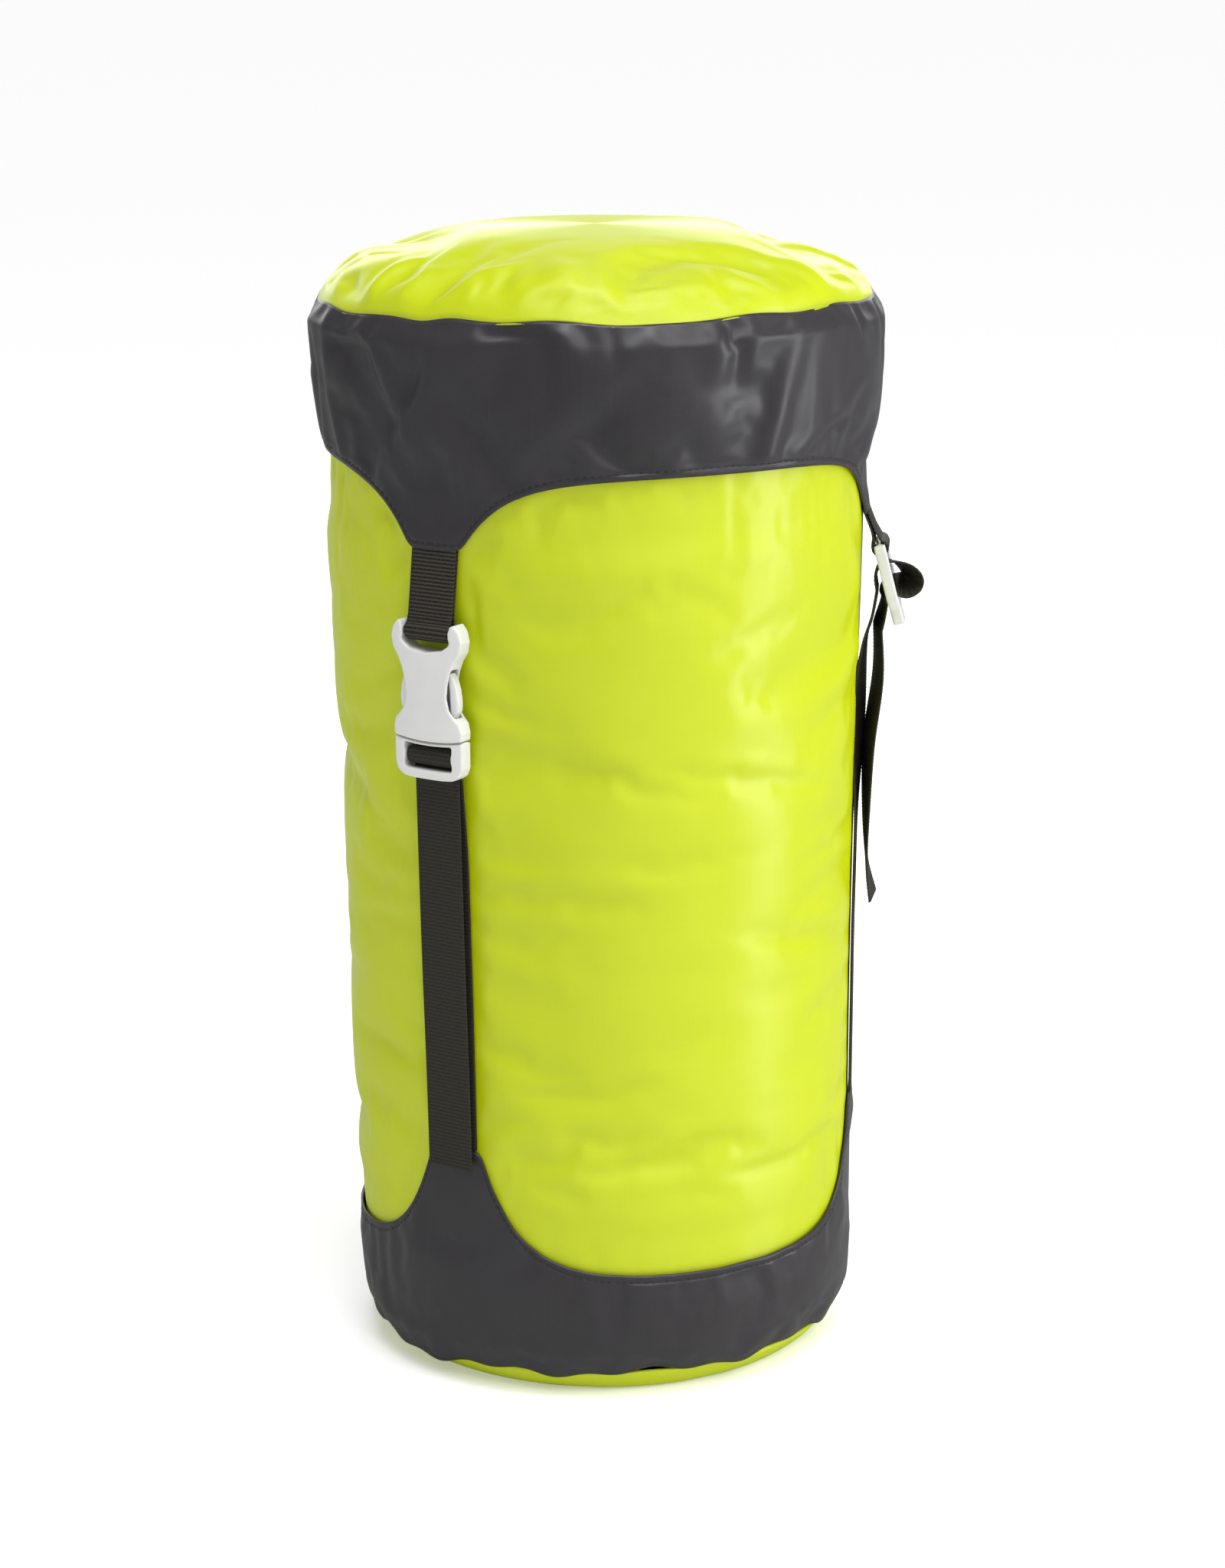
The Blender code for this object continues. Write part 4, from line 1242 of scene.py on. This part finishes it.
def stitch_hem(name, piece, edge, body):
    """A row of stitches on a band, at a height for each direction."""
    cloth = BVHTree.FromObject(piece, bpy.context.evaluated_depsgraph_get())
    hits, angle = [], 0.0
    while angle < 2 * math.pi:
        spot, normal, _, _ = cloth.ray_cast(place(0.2, angle, float(edge(angle))), place(-1, angle, 0))
        hits.append((spot, normal))
        rise = (float(edge(angle + 0.002)) - float(edge(angle))) / 0.002
        angle += PITCH / math.hypot(SACK_RADIUS, rise)
    bm = bmesh.new()
    for (spot, normal), (after, _) in zip(hits, hits[1:] + hits[:1]):
        if spot is None or after is None:
            continue
        along = (after - spot).normalized()
        side = normal.cross(along).normalized()
        axes = (along * STITCH_LONG / 2, side * STITCH_WIDE / 2, normal * STITCH_WIDE / 2.4)
        matrix = Matrix.Translation(spot) @ Matrix(axes).transposed().to_4x4()
        bmesh.ops.create_icosphere(bm, subdivisions=1, radius=1.0, matrix=matrix)
    row = finish_mesh(name, bm)
    dress(row, body, "dark_nylon", THREAD)


stitch_hem("lid_hem_stitches", lid_band, lambda a: lid_edge_at(a) + 2.6 * MM, "lid")
stitch_hem("base_hem_stitches", base_band, lambda a: base_edge_at(a) - 2.6 * MM, "sack")

# %% [markdown]
# ## The mouth
# Under the lid a hem goes round the sack's mouth, and a cord runs in it and out at the front,
# through a cord lock. Both are tubes, so a circle carried round a ring or along a route makes them.


# %% Hem and cord
def make_tube(name, points, radius, around_steps, shape):
    """A round tube along a route of points in space, its ends closed; shape swells its radius."""
    route = Route(points, 4)
    spacing = 0.8 * MM
    rows = round(route.length / spacing)
    spots = [Vector(route.point(i / rows)) for i in range(rows + 1)]
    lines = [Vector(route.along(i / rows)) for i in range(rows + 1)]

    def at(s, t):
        i = round(t * rows)
        side = lines[i].cross(Vector((0, 0, 1)))
        side = side.normalized() if side.length > 1e-4 else Vector((1, 0, 0))
        top = side.cross(lines[i]).normalized()
        size = radius * shape(s, t * route.length)
        return spots[i] + (side * math.cos(2 * math.pi * s) + top * math.sin(2 * math.pi * s)) * size

    def flat_at(s, t):
        return (2 * math.pi * radius * s, t * route.length)

    bm = grid_mesh(around_steps, rows, at, flat_at, closed=True)
    close_ends(bm)
    return finish_mesh(name, bm)


MOUTH, CORD_HEIGHT, CORD_RADIUS, HEM_RADIUS = 0.0315, 0.3930, 1.2 * MM, 3.6 * MM
LOCK_CENTRE, CORD_END, CORD_SPACING = 0.0450, 0.0770, 2.2 * MM


def braid(s, length):
    """Strands that cross over the cord in both directions."""
    turns = length / 0.0045
    a, b = math.cos(2 * math.pi * (3 * s + turns)), math.cos(2 * math.pi * (3 * s - turns))
    return 0.96 + 0.05 * max(a, b)


leave = math.asin(CORD_SPACING * 1.6 / MOUTH)
ring = [leave + (2 * math.pi - 2 * leave) * i / 36 for i in range(37)]
loop = [tuple(place(MOUTH, a, CORD_HEIGHT)) for a in ring]
outs = (MOUTH + 1.6 * MM, MOUTH + 4 * MM, LOCK_CENTRE, 0.0620, CORD_END)
right_end, left_end = [[(x, -out, CORD_HEIGHT) for out in outs] for x in (CORD_SPACING, -CORD_SPACING)]
cord = make_tube("drawcord_braid", right_end[::-1] + loop + left_end, CORD_RADIUS, 16, shape=braid)
dress(cord, "mouth", "cord", THREAD, "drawcord")

# the hem's section is open on the inside, as the CAD's is, and its notch lets the cord out
HEM_START, HEM_SWEEP = math.radians(205), math.radians(310)
NOTCH_HALF = 4.2 * MM


def hem_at(s, t):
    angle = math.asin(NOTCH_HALF / (MOUTH + HEM_RADIUS)) * (1 - 2 * s) + 2 * math.pi * s
    roll = HEM_START + HEM_SWEEP * t
    ripple = 1 + 0.05 * math.sin(angle * 31) * math.sin(math.pi * t)
    out = MOUTH + HEM_RADIUS * ripple * math.cos(roll)
    return place(out, angle, CORD_HEIGHT + HEM_RADIUS * ripple * math.sin(roll))


def from_cord(point):
    """Away from the cord that the hem is rolled round."""
    return (point - place(MOUTH, math.atan2(point.x, -point.y), CORD_HEIGHT)).normalized()


bm = grid_mesh(150, 18, hem_at, lambda s, t: (0.22 * s, 0.02 * t))
hem = finish_mesh("mouth_hem_fabric", bm, from_cord)
add_finish(hem, wall=0.8 * MM, levels=0)
dress(hem, "mouth", "lime_nylon", LIME, "mouth_hem")

# %% Write the sizes and finish
VISUAL_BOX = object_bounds()
for name, box in (("cad:", CAD_BOX), ("visual:", VISUAL_BOX)):
    print(name, [[round(x, 4) for x in corner] for corner in box])
